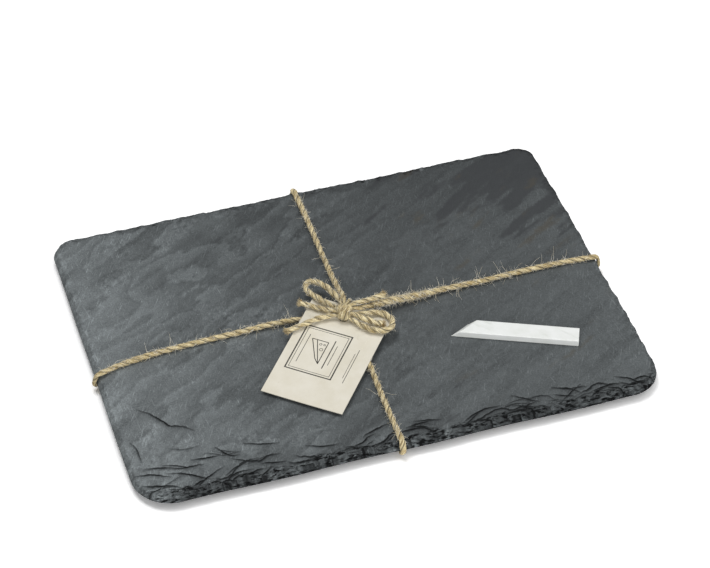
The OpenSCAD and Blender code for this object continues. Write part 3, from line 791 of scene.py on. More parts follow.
LENGTHWISE_ROUTE = with_thickness(
    RIGHT_ARM_ROUTE
    + turn_over((1, 0), HALF_LENGTH, RIGHT_EDGE_Y)
    + [
        [CROSS_X + 2 * CROSS_RAMP, CROSS_Y, UNDER_RUN, 1],
        [CROSS_X + CROSS_RAMP, CROSS_Y, (UNDER_RUN + CROSS_LOWER_Z) / 2, 1],
        [CROSS_X + TWINE_D, CROSS_Y, CROSS_LOWER_Z, 1, CROSS_SHARE],
        [CROSS_X - TWINE_D, CROSS_Y, CROSS_LOWER_Z, 1, CROSS_SHARE],
        [CROSS_X - CROSS_RAMP, CROSS_Y, (UNDER_RUN + CROSS_LOWER_Z) / 2, 1],
        [CROSS_X - 2 * CROSS_RAMP, CROSS_Y, UNDER_RUN, 1],
    ]
    + turn_over((-1, 0), HALF_LENGTH, -LEFT_EDGE_Y)[::-1]
    + LEFT_ARM_ROUTE
)
CROSSWISE_ROUTE = with_thickness(
    REAR_ARM_ROUTE
    + turn_over((0, 1), HALF_DEPTH, -REAR_EDGE_X)
    + [
        [CROSS_X, CROSS_Y + CROSS_RAMP, UNDER_RUN, 1],
        [CROSS_X, CROSS_Y + TWINE_D, CROSS_UPPER_Z, 1, CROSS_SHARE],
        [CROSS_X, CROSS_Y - TWINE_D, CROSS_UPPER_Z, 1, CROSS_SHARE],
        [CROSS_X, CROSS_Y - CROSS_RAMP, UNDER_RUN, 1],
    ]
    + turn_over((0, -1), HALF_DEPTH, FRONT_EDGE_X)[::-1]
    + FRONT_ARM_ROUTE
)


def free_strand(name, seed, fuller, rng):
    """A loop or an end of the bow with its loose fibres, and at an end its frayed fibres. The bow's twine is
    looser than the turns', and so some of it is fuller."""
    strand = Strand(from_knot(BOW_ROUTES[name]), (0, 0, 1), seed, turn=seed, fuller=fuller)
    obj = strand_piece(name, [strand], "bow_" + name, LIT_BOW_TWINE)
    far_end, low = ("object", LOOP_FIBRE_FLOOR) if name.startswith("loop_") else ("bare", BOW_FIBRE_FLOOR)
    fuzz = fuzz_on(strand, 5, 0.7, 4.2, rng, part=(8, math.inf), lowest=low)
    pieces = [fibre_piece(name + "_fibres", [fuzz], FUZZ)]
    if far_end == "bare":
        pieces.append(fibre_piece(name + "_fray", [fray_on(strand, 120, rng, lowest=low)], FRAY))


def bow():
    rng = np.random.default_rng(11)
    for seed, (name, fuller) in enumerate(zip(BOW_ROUTES, (1.1, 1.1, 1.0, 1.0, 1.0, 1.1)), 1):
        free_strand(name, seed, fuller, rng)


def turns_round_the_board():
    """The two turns, with short loose fibres all along the arms over the slate. Along the right arm the twine
    has come undone near the knot, and long fibres curl above it."""
    rng = np.random.default_rng(23)
    lengthwise = Strand(LENGTHWISE_ROUTE, (0, 1, 0), 7)
    crosswise = Strand(CROSSWISE_ROUTE, (1, 0, 0), 8)
    strand_piece("lengthwise_turn", [lengthwise], "twine_lengthwise", TWINE)
    strand_piece("crosswise_turn", [crosswise], "twine_crosswise", TWINE)
    right, left = (8, 178), (lengthwise.length - 166, lengthwise.length)
    rear, front = (4, 128), (crosswise.length - 112, crosswise.length)
    curled = {"curl": 1.3, "steps": 10}
    fibre_piece("lengthwise_fibres", [
        fuzz_on(lengthwise, 5, 0.7, 3.4, rng, part=right),
        fuzz_on(lengthwise, 12, 1.2, 4.2, rng, part=(20, 64), spread=1.1),
        fuzz_on(lengthwise, 0.9, 3, 7, rng, part=(50, 84), upward=0.2, **curled),
        fuzz_on(lengthwise, 0.6, 3, 8, rng, part=(96, 130), upward=0.2, **curled),
        fuzz_on(lengthwise, 0.3, 3, 8, rng, part=(20, 176), upward=0.15, **curled),
        fuzz_on(lengthwise, 5, 0.7, 3.2, rng, part=left),
        fuzz_on(lengthwise, 0.5, 3, 8, rng, part=left, upward=0.15, **curled),
    ], FUZZ)
    fibre_piece("crosswise_fibres", [
        fuzz_on(crosswise, 4, 0.7, 3.2, rng, part=rear),
        fuzz_on(crosswise, 0.25, 2.5, 6, rng, part=rear, upward=0.15, **curled),
        fuzz_on(crosswise, 4, 0.7, 3.2, rng, part=front),
        fuzz_on(crosswise, 0.3, 2.5, 6.5, rng, part=front, upward=0.15, **curled),
    ], FUZZ)


# Knot

KNOT_TURN = math.radians(72)
KNOT_LONG_WAY, KNOT_SIDE = about_z(KNOT_TURN).T[:2]
# Wraps of the knot: how far to its side, lean in radians, lift, half length and height, and width share
WRAPS = (
    (2.9, 0.25, -0.2, 4.0, 1.9, 1.25),
    (0.1, 0.05, 0.3, 4.5, 2.2, 1.3),
    (-2.8, -0.25, -0.3, 3.8, 1.9, 1.15),
)
# Core of the knot: places along it and width shares
CORE = ((-5, 0.5), (-2.5, 1.2), (0, 1.4), (2.5, 1.2), (5, 0.5))
# The pair of strands under the knot: how far out each is, its width share, and heights with the angle in
# radians to which the pair has turned there
STEM_OUT, STEM_SHARE = 1.45, 0.88
STEM_HEIGHTS = ((TOP_Z + 0.15, 0.2), (15, 0.6), (18, 1.0), (KNOT[2] - 2, 1.4))


def wrap_route(sideways, lean, lift, half_long, half_high, share):
    """A closed turn round the knot: an ellipse in a plane that stands along the knot, moved sideways and
    leaned over."""
    a = np.linspace(0, 2 * math.pi, 25)[:, None]
    long_way = about_z(KNOT_TURN + lean)[:, 0]
    middle = KNOT + sideways * KNOT_SIDE + [0, 0, lift]
    points = middle + half_long * np.cos(a) * long_way + half_high * np.sin(a) * [0, 0, 1]
    return [[*p, share] for p in points]


def stem_route(r):
    """One of the pair, which turn round each other on their way up through the tag's hole."""
    return [[KNOT[0] + r * math.cos(a), KNOT[1] + r * math.sin(a), z, STEM_SHARE] for z, a in STEM_HEIGHTS]


def knot():
    """Three wraps round a core, on the pair of strands that comes up through the tag's hole."""
    rng = np.random.default_rng(5)
    wraps = [Strand(wrap_route(*wrap), KNOT_SIDE, 31 + k, closed=True) for k, wrap in enumerate(WRAPS)]
    stems = [Strand(stem_route(r), (1, 0, 0), 36) for r in (-STEM_OUT, STEM_OUT)]
    stub = Strand(from_knot(STUB_ROUTE), (0, 0, 1), 34)
    core = Strand([[*(KNOT + s * KNOT_LONG_WAY), share] for s, share in CORE], (0, 0, 1), 35)
    strand_piece("knot", wraps + stems + [stub, core], "bow_knot", LIT_BOW_TWINE)
    above_tag = {"lowest": BOW_FIBRE_FLOOR}
    parts = [fuzz_on(s, 2.0, 1.0, 4.5, rng, spread=1.1, **above_tag) for s in wraps]
    parts.append(fuzz_on(wraps[1], 0.35, 6, 12, rng, spread=1.2, upward=0.4, curl=0.8, steps=9, **above_tag))
    fibre_piece("knot_fibres", parts + [fray_on(stub, 60, rng, 0.6, 1.6)], FUZZ)


bow()
turns_round_the_board()
knot()


# Slate

# Columns and rows of the sheet that makes the top, whose rows lie closer near the front edge
SLATE_COLUMNS, FINE_ROWS, COARSE_ROWS = 380, 58, 118
FINE_DEPTH = 39.0
# Depth of the rim over which the sheet is drawn in to the top outline
RIM = 14.0
# Reach of a cleft's mark from its line, and the families of marks, which keep close clefts apart
CLEFT_REACH, FAMILIES = 6.0, 3
# Clefts laid at random near the front edge: count, where they start along X, how far from the edge they start
# at most, their first heading in degrees and their bend
CLEFT_GROUPS = (
    (64, (-174, 160), 14, (-8, 38), (25, 65)),
    (22, (-178, -112), 36, (-24, 0), (-10, 20)),
)
# The slate's tone with a painted fall-off of light, paler towards the left and darkest at the rear right, as
# the log of its light: its level, and its change along X, Y, X², XY and Y² of the board
TONE_FIT = (-2.275, -0.288, -0.126, 0.365, -0.145, -0.085)
# Light that the material's dark and pale colours send back
TONE_DARK, TONE_PALE = 0.0307, 0.3564
# Noise fields of the slate: sizes along two axes in millimetres, seed and layers. The second axis of
# layer_edge counts the layers of the stone
FIELDS = {
    "waves": (95, 75, 3, 3), "leaves": (30, 10, 5, 4), "grain": (5, 5, 13, 4),
    "leaf_edge": (7, 7, 19, 4), "leaf_plain": (16, 16, 59, 2), "cleft_edge": (6, 6, 61, 3),
    "rim_chips": (5, 5, 23, 3), "outline_chips": (6, 6, 29, 3), "outline_nicks": (4, 4, 31, 4),
    "shaded_leaves": (55, 24, 43, 4), "ragged_leaves": (4, 4, 47, 3), "chalk": (2, 2, 53, 3),
    "bloom": (34, 20, 57, 3), "pale_nicks": (3, 4, 63, 3), "bruise": (42, 10, 71, 5),
    "stain": (26, 9, 73, 4), "dark_rim": (5, 2, 67, 3), "layer_edge": (7, 1, 83, 3),
    "wall_chips": (4.5, 1.7, 91, 3), "dark_wall": (3, 1.1, 97, 2),
}

# Cleft steps on the top: depth, the length over which the step fades out on its lower side, and its line
CLEFT_LINES = (
    (0.9, 12, ((-161, -45), (-153, -51), (-147, -59), (-143, -65), (-136, -68), (-128, -76))),
    (0.8, 8, ((-121, -91), (-117, -97), (-112, -102), (-106, -103))),
    (0.6, 6, ((-104, -94), (-92, -98), (-80, -101))),
    (1.1, 9, ((-81, -116), (-75, -119), (-66, -119), (-58, -121))),
    (0.6, 5, ((-98, -113), (-88, -115), (-80, -116))),
    (0.8, 9, ((-175, -108), (-163, -113), (-155, -115), (-147, -120))),
    (0.8, 8, ((-157, -104), (-146, -107), (-132, -116), (-126, -118))),
    (0.5, 7, ((-170, -98), (-158, -99), (-144, -103), (-134, -104))),
    (0.6, 6, ((-122, -118), (-112, -112), (-104, -109), (-96, -109))),
    (0.6, 6, ((-66, -108), (-54, -112), (-44, -113))),
    (0.6, 6, ((-38, -118), (-26, -120), (-14, -118))),
    (0.6, 6, ((6, -109), (15, -110), (25, -113))),
    (0.6, 5, ((30, -118), (38, -120), (47, -115), (55, -111))),
    (0.9, 6, ((58, -120), (70, -119), (80, -119), (93, -121))),
    (0.6, 7, ((74, -106), (82, -111), (92, -117))),
    (0.9, 8, ((101, -107), (112, -111), (121, -118))),
    (0.6, 6, ((100, -113), (108, -116), (116, -119))),
    (0.7, 7, ((144, -110), (154, -114), (160, -119), (168, -116))),
    (0.5, 5, ((128, -117), (138, -119), (147, -118))),
    (0.5, 6, ((-171, -70), (-168, -80), (-168, -92))),
    (0.4, 6, ((-150, -84), (-140, -88), (-128, -88))),
)


def laid_out(x, y):
    """Carries a square-cornered sheet to the rounded outline. In a corner's square, a point at (p, q) from
    the arc's middle goes to the radius max(p, q), at 45 degrees times q / p, or at 90 degrees less 45 times
    p / q. Returns the place, the direction it faces and how deep it lies in from the outline."""
    sx, sy = np.where(x < 0, -1, 1), np.where(y < 0, -1, 1)
    radius = CORNER_RADII[(sy > 0).astype(int), (sx > 0).astype(int)]
    p = np.abs(x) - (HALF_LENGTH - radius)
    q = np.abs(y) - (HALF_DEPTH - radius)
    corner = (p > 0) & (q > 0)
    far, near = np.maximum(p, q), np.minimum(p, q)
    share = 45 * near / np.maximum(far, 1e-6)
    degrees = np.where(corner, np.where(p >= q, share, 90 - share), np.where(
        HALF_LENGTH - np.abs(x) < HALF_DEPTH - np.abs(y), 0, 90))
    turn = np.radians(degrees)
    px = np.where(corner, HALF_LENGTH - radius + far * np.cos(turn), np.abs(x))
    py = np.where(corner, HALF_DEPTH - radius + far * np.sin(turn), np.abs(y))
    deep = np.minimum(HALF_LENGTH - np.abs(x), HALF_DEPTH - np.abs(y))
    return (sx * px, sy * py), (sx * np.cos(turn), sy * np.sin(turn)), deep


def field(name, x, y):
    """One of the slate's noise fields at a place."""
    size_x, size_y, seed, layers = FIELDS[name]
    return fractal(x / size_x, y / size_y, seed, layers)


def along_grain(x, y):
    """A place measured along and across the slate's grain."""
    c, s = math.cos(SPLIT_TURN), math.sin(SPLIT_TURN)
    return c * x + s * y, c * y - s * x


def cleft_lines():
    """The clefts laid out above, and more of them at random along the front edge, each an arc that bends down
    to the right."""
    rng = np.random.default_rng(71)
    lines = list(CLEFT_LINES)
    for count, span, furthest, headings, bends in CLEFT_GROUPS:
        for _ in range(count):
            heading, bend = np.radians([rng.uniform(*headings), rng.uniform(*bends)])
            place = [rng.uniform(*span), 1.5 + furthest * rng.uniform() ** 1.7 - HALF_DEPTH]
            line, legs = [np.array(place)], rng.integers(3, 7)
            for _ in range(legs):
                line.append(line[-1] + rng.uniform(3, 7) * np.array([math.cos(heading), math.sin(heading)]))
                heading -= bend / legs + 0.12 * rng.normal()
            lines.append((rng.uniform(0.4, 0.9), rng.uniform(3, 6), line))
    return lines


def cleft_marks(x, y):
    """How deep the clefts are at each place, and marks for the material: in each of three families, the
    distance below the nearest line and how plain it is. A step drops on the side to the right of its line's
    direction, fades out by exp(−(e / fade)²) and closes at its ends."""
    drop = np.zeros_like(x)
    marks = np.zeros((FAMILIES, len(x), 3))
    marks[..., 0] = 2 * CLEFT_REACH
    ragged = 0.4 * field("cleft_edge", x, y)
    for depth, fade, line in cleft_lines():
        path, run = smooth_route([[*p, 0] for p in line], 0.8)
        path = path[:, :2]
        low, high = path.min(axis=0) - 20, path.max(axis=0) + 20
        near = np.flatnonzero((x > low[0]) & (x < high[0]) & (y > low[1]) & (y < high[1]))
        apart = np.stack([x[near], y[near]], axis=1)[:, None] - path[None]
        i = np.argmin(np.sum(apart**2, axis=2), axis=1)
        apart = apart[np.arange(len(near)), i]
        along = unit(np.gradient(path, axis=0))[i]
        below = along[:, 1] * apart[:, 0] - along[:, 0] * apart[:, 1] + ragged[near]
        beyond = np.abs(np.sum(along * apart, axis=1))
        ends = np.clip(wave(180 * run[i] / run[-1]), 0, 1) ** 0.5 * np.exp(-(beyond / 1.5) ** 2)
        step = smooth(-0.8, 0.8, below) * np.exp(-(np.maximum(below, 0) / fade) ** 2)
        drop[near] = np.maximum(drop[near], depth * ends * step)
        # The line narrows to its ends
        below = below / ((0.5 + 0.5 * ends) * (0.6 + 0.4 * depth))
        plain = np.minimum(1.6 * depth, 1) * ends * smooth(CLEFT_REACH + 2, CLEFT_REACH, np.abs(below))
        # The family where the fewest of these places are taken
        taken = [np.sum((marks[f, near, 1] > 0.01) & (plain > 0.01)) for f in range(FAMILIES)]
        family = marks[int(np.argmin(taken))]
        closer = (np.abs(below) < np.abs(family[near, 0])) & (plain > 0.01)
        family[near[closer], 0] = below[closer]
        family[near[closer], 1] = plain[closer]
    return drop, marks


def stick_rest(x, y):
    """1 under the soapstone, which lies on the slate's high spots, falling to 0 within 5 mm of it."""
    c, s = math.cos(STICK_TURN), math.sin(STICK_TURN)
    along = c * (x - STICK_END[0]) + s * (y - STICK_END[1])
    across = c * (y - STICK_END[1]) - s * (x - STICK_END[0])
    away = np.maximum(np.abs(along + STICK_LENGTH / 2) - STICK_LENGTH / 2, np.abs(across) - STICK_W / 2)
    return 1 - smooth(0, 5, away)


def twine_rest(x, y):
    """1 beside the twine where it goes over the edges, falling to 0 within 8 mm of it."""
    inside_x, inside_y = (np.abs(x) < HALF_LENGTH - 20), (np.abs(y) < HALF_DEPTH - 20)
    along_x = np.abs(y - np.where(x > 0, RIGHT_EDGE_Y, LEFT_EDGE_Y)) + 1e3 * inside_x
    along_y = np.abs(x - np.where(y > 0, REAR_EDGE_X, FRONT_EDGE_X)) + 1e3 * inside_y
    return 1 - smooth(3, 8, np.minimum(along_x, along_y))


def relief(x, y, edge, facing):
    """How far the top lies below its highest plane: slow waves, leaves along the grain, a fine grain, the
    leaf's recess along the front, the clefts and the roll towards the edges."""
    drop = 0.14 * (1 + field("waves", x, y)) + 0.12 * (1 + field("leaves", *along_grain(x, y)))
    drop = drop + 0.07 * (1 + field("grain", x, y))
    back = flaked_back(x, facing)
    below = back + 1.6 * field("leaf_edge", x, y) - edge
    drop = drop + LEAF_THICK * smooth(-0.6, 0.6, below) * (back > 0.8)
    cleft, marks = cleft_marks(x, y)
    roll = side_share((0.5, 0.35, 1.3, 0.7), facing) * (1 - smooth(0, 15, edge)) ** 2
    arris = 0.3 * (1 - np.clip(edge / 1.3, 0, 1)) ** 2
    chips = 0.9 * smooth(0.05, 0.6, field("rim_chips", x, y)) * (1 - smooth(0.5, 3.0, edge))
    chips = chips * (1 - twine_rest(x, y))
    drop = drop + cleft + roll + arris + chips * side_share(ROUGH_SHARES, facing)
    rest = stick_rest(x, y)
    drop = drop * (1 - rest) + 0.08 * rest
    leaf_plain = 0.9 * smooth(0.8, 3, back) * smooth(-0.5, 0.3, field("leaf_plain", x, y))
    leaf_mark = np.stack([below, leaf_plain, 0 * x], axis=1)
    return drop, dict(zip(CLEFTS, [*marks, leaf_mark]))


def tone_with_painted_light(x, y, edge):
    """How pale the slate is, from the dark to the pale colour of its material: the quadratic above with its
    painted fall-off of light, painted shade on leaves that each fade from their crisp lower edge, towards the
    left a chalky bloom, and nicks at the edge."""
    u, v = along_grain(x, y)
    s, t = x / HALF_LENGTH, y / HALF_DEPTH
    terms = (1, s, t, s * s, s * t, t * t)
    # Painted fall-off of light across the board
    light = np.exp(sum(share * term for share, term in zip(TONE_FIT, terms)))
    # Painted shade of the leaves: darkest at each crisp edge and fading paler away from it, stronger towards
    # the left
    leaf = v / 30 + 1.5 * field("shaded_leaves", u, v) + 0.05 * field("ragged_leaves", x, y)
    leaf = leaf - np.floor(leaf)
    leaf = np.minimum(leaf / 0.94, (1 - leaf) / 0.06)
    left = smooth(0.6, -0.6, s)
    bloom = (0.3 + field("chalk", x, y)) * smooth(0.0, 0.5, field("bloom", u, v))
    nicks = (1 - smooth(0.5, 3.5, edge)) * np.maximum(field("pale_nicks", x, y), 0)
    tone = (light - TONE_DARK) / (TONE_PALE - TONE_DARK) + (0.03 + 0.14 * left) * (leaf - 0.5)
    return tone + 0.2 * left * bloom + 0.4 * nicks


def dark_marks(x, y):
    """Bruises and brown stains, noise above a level: the first drawn out along the grain, at the rear right,
    and the second small and at the right."""
    u, v = along_grain(x, y)
    rear_right = smooth(10, 140, x) * smooth(-20, 90, y)
    bruise = smooth(0.0, 0.22, field("bruise", u, v) + 0.75 * rear_right - 0.55)
    stain = smooth(0.15, 0.5, field("stain", u, v) + 0.3 * rear_right - 0.35)
    return {"bruise": 0.8 * bruise, "stain": 0.5 * stain * smooth(20, 80, x)}


def rim_shade_and_chips(x, y, edge, facing):
    """Painted shade on the broken rim of the top, with the dark of broken stone: most along the front edge
    and least along the left, over a ragged few millimetres.
    """
    ragged = edge + 3 * field("dark_rim", x, y)
    return side_share((0.3, 0.45, 0.05, 0.9), facing) * smooth(4.0, 0.3, ragged)


def wall_rings(x, y, facing, top_inset, top_z, runs):
    """Inset and height of each ring of the broken edge, from the leaf's wall down. In each layer the edge
    slopes out from the layer above over a ragged part of its height, and is chipped back by up to a
    millimetre, where |noise| is high."""
    insets = layer_insets(x, y, facing)
    rough = side_share(ROUGH_SHARES, facing)
    plain = side_share((0.1, 0.1, 0.85, 0.0), facing)
    floors = [STAND_OFF + BODY_LAYER * k for k in range(LAYERS + 1)]
    still = np.zeros_like(runs)
    rings = [(top_inset - 0.05, np.minimum(floors[LAYERS] + 0.03, top_z - 0.02))]
    for k in range(LAYERS, 0, -1):
        high = floors[k] + 0.45 * field("layer_edge", runs, still + k) * (k < LAYERS)
        low = floors[k - 1] + 0.45 * field("layer_edge", runs, still + k - 1) * (k > 1)
        ledge = 0.45 + 0.3 * noise(runs / 5, still + k, 87)
        for share in (0.0, 0.2, 0.4, 0.6, 0.8, 0.96):
            z = np.minimum(high + (low - high) * share, top_z - 0.04)
            out = np.clip(1 - share / ledge, 0, 1) ** 1.3
            chip = 1.3 * rough * np.abs(field("wall_chips", runs, z)) * (1 - twine_rest(x, y))
            inset = insets[k - 1] + (insets[k] - insets[k - 1]) * out + chip
            rings.append((np.minimum(inset, top_inset + 0.3), z))
    rings.append((insets[0] + 0.2, np.full_like(x, STAND_OFF)))
    height = [np.clip((z - STAND_OFF) / (top_z - STAND_OFF), 0, 1) for _, z in rings]
    even = [insets[0] + 0.05 + (top_inset - insets[0] - 0.05) * h**1.4 for h in height]
    return [(inset + (level - inset) * plain, z) for (inset, z), level in zip(rings, even)], height


def top_inset(x, y, facing):
    """How far the top's outline lies in from the full one: its layer's inset with chips and nicks, but no
    more than where the twine lies against the edge."""
    insets = layer_insets(x, y, facing)
    rough = side_share(ROUGH_SHARES, facing)
    inset = insets[LAYERS] + 0.9 * rough * smooth(0.0, 0.7, field("outline_chips", x, y))
    nicked = side_share((0.6, 2.4, 0.9, 0.3), facing)
    inset = inset + nicked * smooth(-0.05, 0.5, field("outline_nicks", x, y))
    pressed = insets[0] + 0.5 * side_share(SLOPE_SHARES, facing) * EDGE_SLOPE
    return inset + (np.minimum(inset, pressed) - inset) * twine_rest(x, y)


def slate_board():
    """The top is a sheet drawn in to the top outline, inset·(1 − deep / rim)^1.2 at a place. The edge is
    rings that step out and down from layer to layer, broken up by noise, to the underside's outline."""
    xs = np.linspace(-HALF_LENGTH, HALF_LENGTH, SLATE_COLUMNS + 1)
    ys = np.concatenate([
        np.linspace(-HALF_DEPTH, FINE_DEPTH - HALF_DEPTH, FINE_ROWS, endpoint=False),
        np.linspace(FINE_DEPTH - HALF_DEPTH, HALF_DEPTH, COARSE_ROWS + 1),
    ])
    (x, y), facing, deep = laid_out(*(a.ravel() for a in np.meshgrid(xs, ys)))
    outline_x, outline_y = x + facing[0] * deep, y + facing[1] * deep
    inset = top_inset(outline_x, outline_y, facing)
    weight = np.clip(1 - deep / RIM, 0, 1) ** 1.2
    x, y = x - facing[0] * inset * weight, y - facing[1] * inset * weight
    edge = np.maximum(deep - inset * (1 - weight), 0)
    drop, marks = relief(x, y, edge, facing)
    # tone carries painted light and leaf shade, chip painted shade on the broken rim and walls
    marks |= {"tone": tone_with_painted_light(x, y, edge), "chip": rim_shade_and_chips(x, y, edge, facing)} | dark_marks(x, y)
    top = np.stack([x, y, TOP_Z - drop], axis=1)

    rows, columns = len(ys), len(xs)
    index = np.arange(rows * columns).reshape(rows, columns)
    loop = np.concatenate([index[0, :-1], index[:-1, -1], index[-1, :0:-1], index[:0:-1, 0]])
    ox, oy, nx, ny = outline_x[loop], outline_y[loop], facing[0][loop], facing[1][loop]
    runs = np.concatenate([[0], np.cumsum(np.hypot(np.diff(ox), np.diff(oy)))])
    rings, heights = wall_rings(ox, oy, (nx, ny), inset[loop], top[loop, 2], runs)
    walls = [np.stack([ox - nx * wall_inset, oy - ny * wall_inset, z], axis=1) for wall_inset, z in rings]
    lower = len(top) + np.arange(len(walls) * len(loop)).reshape(-1, len(loop))
    upper = np.concatenate([loop[None], lower[:-1]])
    wall_faces = np.stack([upper, lower, np.roll(lower, -1, axis=1), np.roll(upper, -1, axis=1)], axis=-1)
    wall_faces = wall_faces.reshape(-1, 4)
    top_faces = sheet_faces(rows, columns)
    rough = side_share(ROUGH_SHARES, (nx, ny))
    # Painted shade on the broken edge's walls, with the dark of broken stone: darker towards the bottom,
    # strongest where the edge is roughest
    chips = np.concatenate([
        np.clip(0.65 + 0.4 * (1 - h) ** 1.5 + 0.7 * field("dark_wall", runs, z), 0, 1) * rough
        for h, (_, z) in zip(heights, rings)
    ])
    for key, values in marks.items():
        on_walls = np.tile(values[loop], (len(walls), 1) if values.ndim > 1 else len(walls))
        marks[key] = np.concatenate([values, chips if key == "chip" else on_walls])
    rounded = np.concatenate([np.ones(len(top_faces)), np.zeros(len(wall_faces) + 1)]).astype(bool)
    faces = [top_faces, wall_faces, lower[-1][::-1][None]]
    obj = add_piece("slate", np.concatenate([top] + walls), faces, SLATE, "root", "slate", marks, rounded)
    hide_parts("slate_board")


slate_board()


# Tag

# Corners of the card, along and across it from the middle of the hole
TAG_LOW, TAG_HIGH = np.array([-80.0, -30.25]), np.array([11.0, 26.25])
TAG_THICK, HOLE_R = 0.5, 4.0
# Rings from the hole to the card's sides, and the rays that they cross
TAG_RINGS, TAG_RAYS = 44, 220


def on_tag(points):
    """Carries points from the card's own axes to the scene: tilted about Y, turned about Z and moved to the
    hole's middle."""
    c, s = math.cos(TAG_TILT), math.sin(TAG_TILT)
    tilt = np.array([[c, 0, -s], [0, 1, 0], [s, 0, c]])
    return np.asarray(points, dtype=float) @ tilt.T @ about_z(TAG_TURN).T + TAG_PIVOT


def card_curl(x, y):
    """How far the card lifts from its plane: its long edges and its bottom corners, a little."""
    away = np.clip((TAG_HIGH[0] - x) / (TAG_HIGH[0] - TAG_LOW[0]), 0, 1)
    across = 2 * (y - (TAG_LOW[1] + TAG_HIGH[1]) / 2) / (TAG_HIGH[1] - TAG_LOW[1])
    return 0.3 * across**2 * away + 0.15 * smooth(0.75, 1.0, away)


def tag():
    """The card between the circle of its hole and its rectangle: each ray from the hole's middle runs from
    radius 4 to the nearest side, and the same surface again below makes the underside."""
    corners = [(TAG_HIGH[0], TAG_LOW[1]), TAG_HIGH, (TAG_LOW[0], TAG_HIGH[1]), TAG_LOW]
    corner_angles = np.unwrap([math.atan2(y, x) for x, y in corners])
    legs = np.append(corner_angles, corner_angles[0] + 2 * math.pi)
    angle = np.concatenate([
        np.linspace(legs[k], legs[k + 1], TAG_RAYS // 4, endpoint=False) for k in range(4)
    ])
    way = np.stack([np.cos(angle), np.sin(angle)], axis=1)
    bound = np.where(way > 0, TAG_HIGH, TAG_LOW) / np.where(np.abs(way) < 1e-9, 1e-9, way)
    reach = np.min(np.abs(bound), axis=1)
    share = np.linspace(0, 1, TAG_RINGS)[:, None]
    radius = HOLE_R * (1 - share) + reach * share
    x, y = radius * way[:, 0], radius * way[:, 1]
    z = card_curl(x, y)
    upper = np.stack([x, y, z + TAG_THICK / 2], axis=-1)
    lower = np.stack([x, y, z - TAG_THICK / 2], axis=-1)[::-1]
    loop = np.concatenate([upper, lower]).reshape(-1, 3)
    faces = hoop_faces(2 * TAG_RINGS, TAG_RAYS, closed=True)[:, ::-1]
    obj = add_piece("tag", on_tag(loop), [faces], CARD, "tag", "tag_card", smooth_faces=False)
    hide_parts("tag_card")


# How far the printed lines stand proud of the card, and how far their flanks reach into it
INK_PROUD, INK_DEEP = 0.02, 0.03
# Length of the steps in which a printed line follows the card's curl
INK_STEP = 1.5


def ribbon(line, width, closed=False):
    """A printed line on the card: a flat closed strip of a width along a polyline in the card's axes, mitred
    at its corners."""
    line = np.array(line, dtype=float)
    ahead = unit((np.roll(line, -1, axis=0) if closed else np.append(line[1:], line[-1:], axis=0)) - line)
    behind = unit(line - (np.roll(line, 1, axis=0) if closed else np.insert(line[:-1], 0, line[0], axis=0)))
    if not closed:
        ahead[-1], behind[0] = behind[-1], ahead[0]
    middle = unit(ahead + behind)
    side = np.stack([-middle[:, 1], middle[:, 0]], axis=1)
    square = np.stack([-ahead[:, 1], ahead[:, 0]], axis=1)
    side = side / np.maximum(np.sum(side * square, axis=1, keepdims=True), 0.3)
    rings = []
    for across, up in ((-1, 1), (1, 1), (1, 0), (-1, 0)):
        p = line + side * across * width / 2
        z = card_curl(p[:, 0], p[:, 1]) + TAG_THICK / 2 + (INK_PROUD if up else -INK_DEEP)
        rings.append(np.column_stack([p, z]))
    rings = np.stack(rings, axis=1)
    if closed:
        return rings.reshape(-1, 3), [hoop_faces(len(line), 4, closed=True)]
    return tube(rings)


def fine_line(a, b):
    """A straight line in steps short enough to follow the card's curl."""
    a, b = np.array(a, dtype=float), np.array(b, dtype=float)
    count = max(int(np.linalg.norm(b - a) / INK_STEP), 1)
    return [a + (b - a) * k / count for k in range(count + 1)]


def box_line(middle, half_x, half_y):
    """A rectangle's outline as one closed line."""
    signs = ((-1, -1), (1, -1), (1, 1), (-1, 1))
    corners = [middle + (half_x * sx, half_y * sy) for sx, sy in signs]
    return [p for k in range(4) for p in fine_line(corners[k], corners[(k + 1) % 4])[:-1]]


# Middle of the print, along and across the card from its hole
PRINT_MIDDLE = np.array([-35.0, 4.0])
# From that middle: the double frame's half length and width, the wedge, its rind, its holes with their radii,
# and three rules. Each frame and rule ends with the width of its line
FRAMES = ((20, 16, 0.9), (18.2, 14.2, 0.35))
WEDGE = ((-10, -3), (10, -3), (10, 5), (-10, -3))
RIND = ((-10, -3), (-6, 0.5), (10, 8.5), (10, 5))
HOLES = ((2.5, -0.6, 1.1), (6.8, 1.4, 0.8), (7.0, -1.2, 0.6))
RULES = (((-13, -7), (13, -7), 0.7), ((-9, -9.6), (9, -9.6), 0.4), ((-13, 11), (13, 11), 0.4))
# The rules along the card's side, from its hole
SIDE_RULES = (((-55, -20.5), (-24, -20.5), 0.4), ((-51, -18.9), (-28, -18.9), 0.3))


def tag_print():
    """A plain printed panel: a double-ruled frame round a wedge of cheese with three holes over two rules and
    under one, and two thin rules along the card's side."""
    middle = PRINT_MIDDLE
    parts = [ribbon(box_line(middle, x, y), width, closed=True) for x, y, width in FRAMES]
    for outline in (WEDGE, RIND):
        parts += [ribbon(fine_line(middle + a, middle + b), 0.6) for a, b in zip(outline, outline[1:])]
    turn = np.linspace(0, 2 * math.pi, 16, endpoint=False)
    for x, y, r in HOLES:
        hole = [middle + (x + r * math.cos(a), y + r * math.sin(a)) for a in turn]
        parts.append(ribbon(hole, 0.4, closed=True))
    rules = [(middle + a, middle + b, width) for a, b, width in RULES] + list(SIDE_RULES)
    parts += [ribbon(fine_line(a, b), width) for a, b, width in rules]
    points, faces = joined(parts)
    add_piece("tag_print", on_tag(points), faces, INK, "tag", "tag_card", smooth_faces=False)


tag()
tag_print()


# Soapstone

# Radius of its worn edges, how far its cut end is slanted across and sloped down, and rings along it
STICK_EDGE_R = 0.45
STICK_SLANT, STICK_SLOPE = 10.8, 5.5
STICK_RINGS = 70


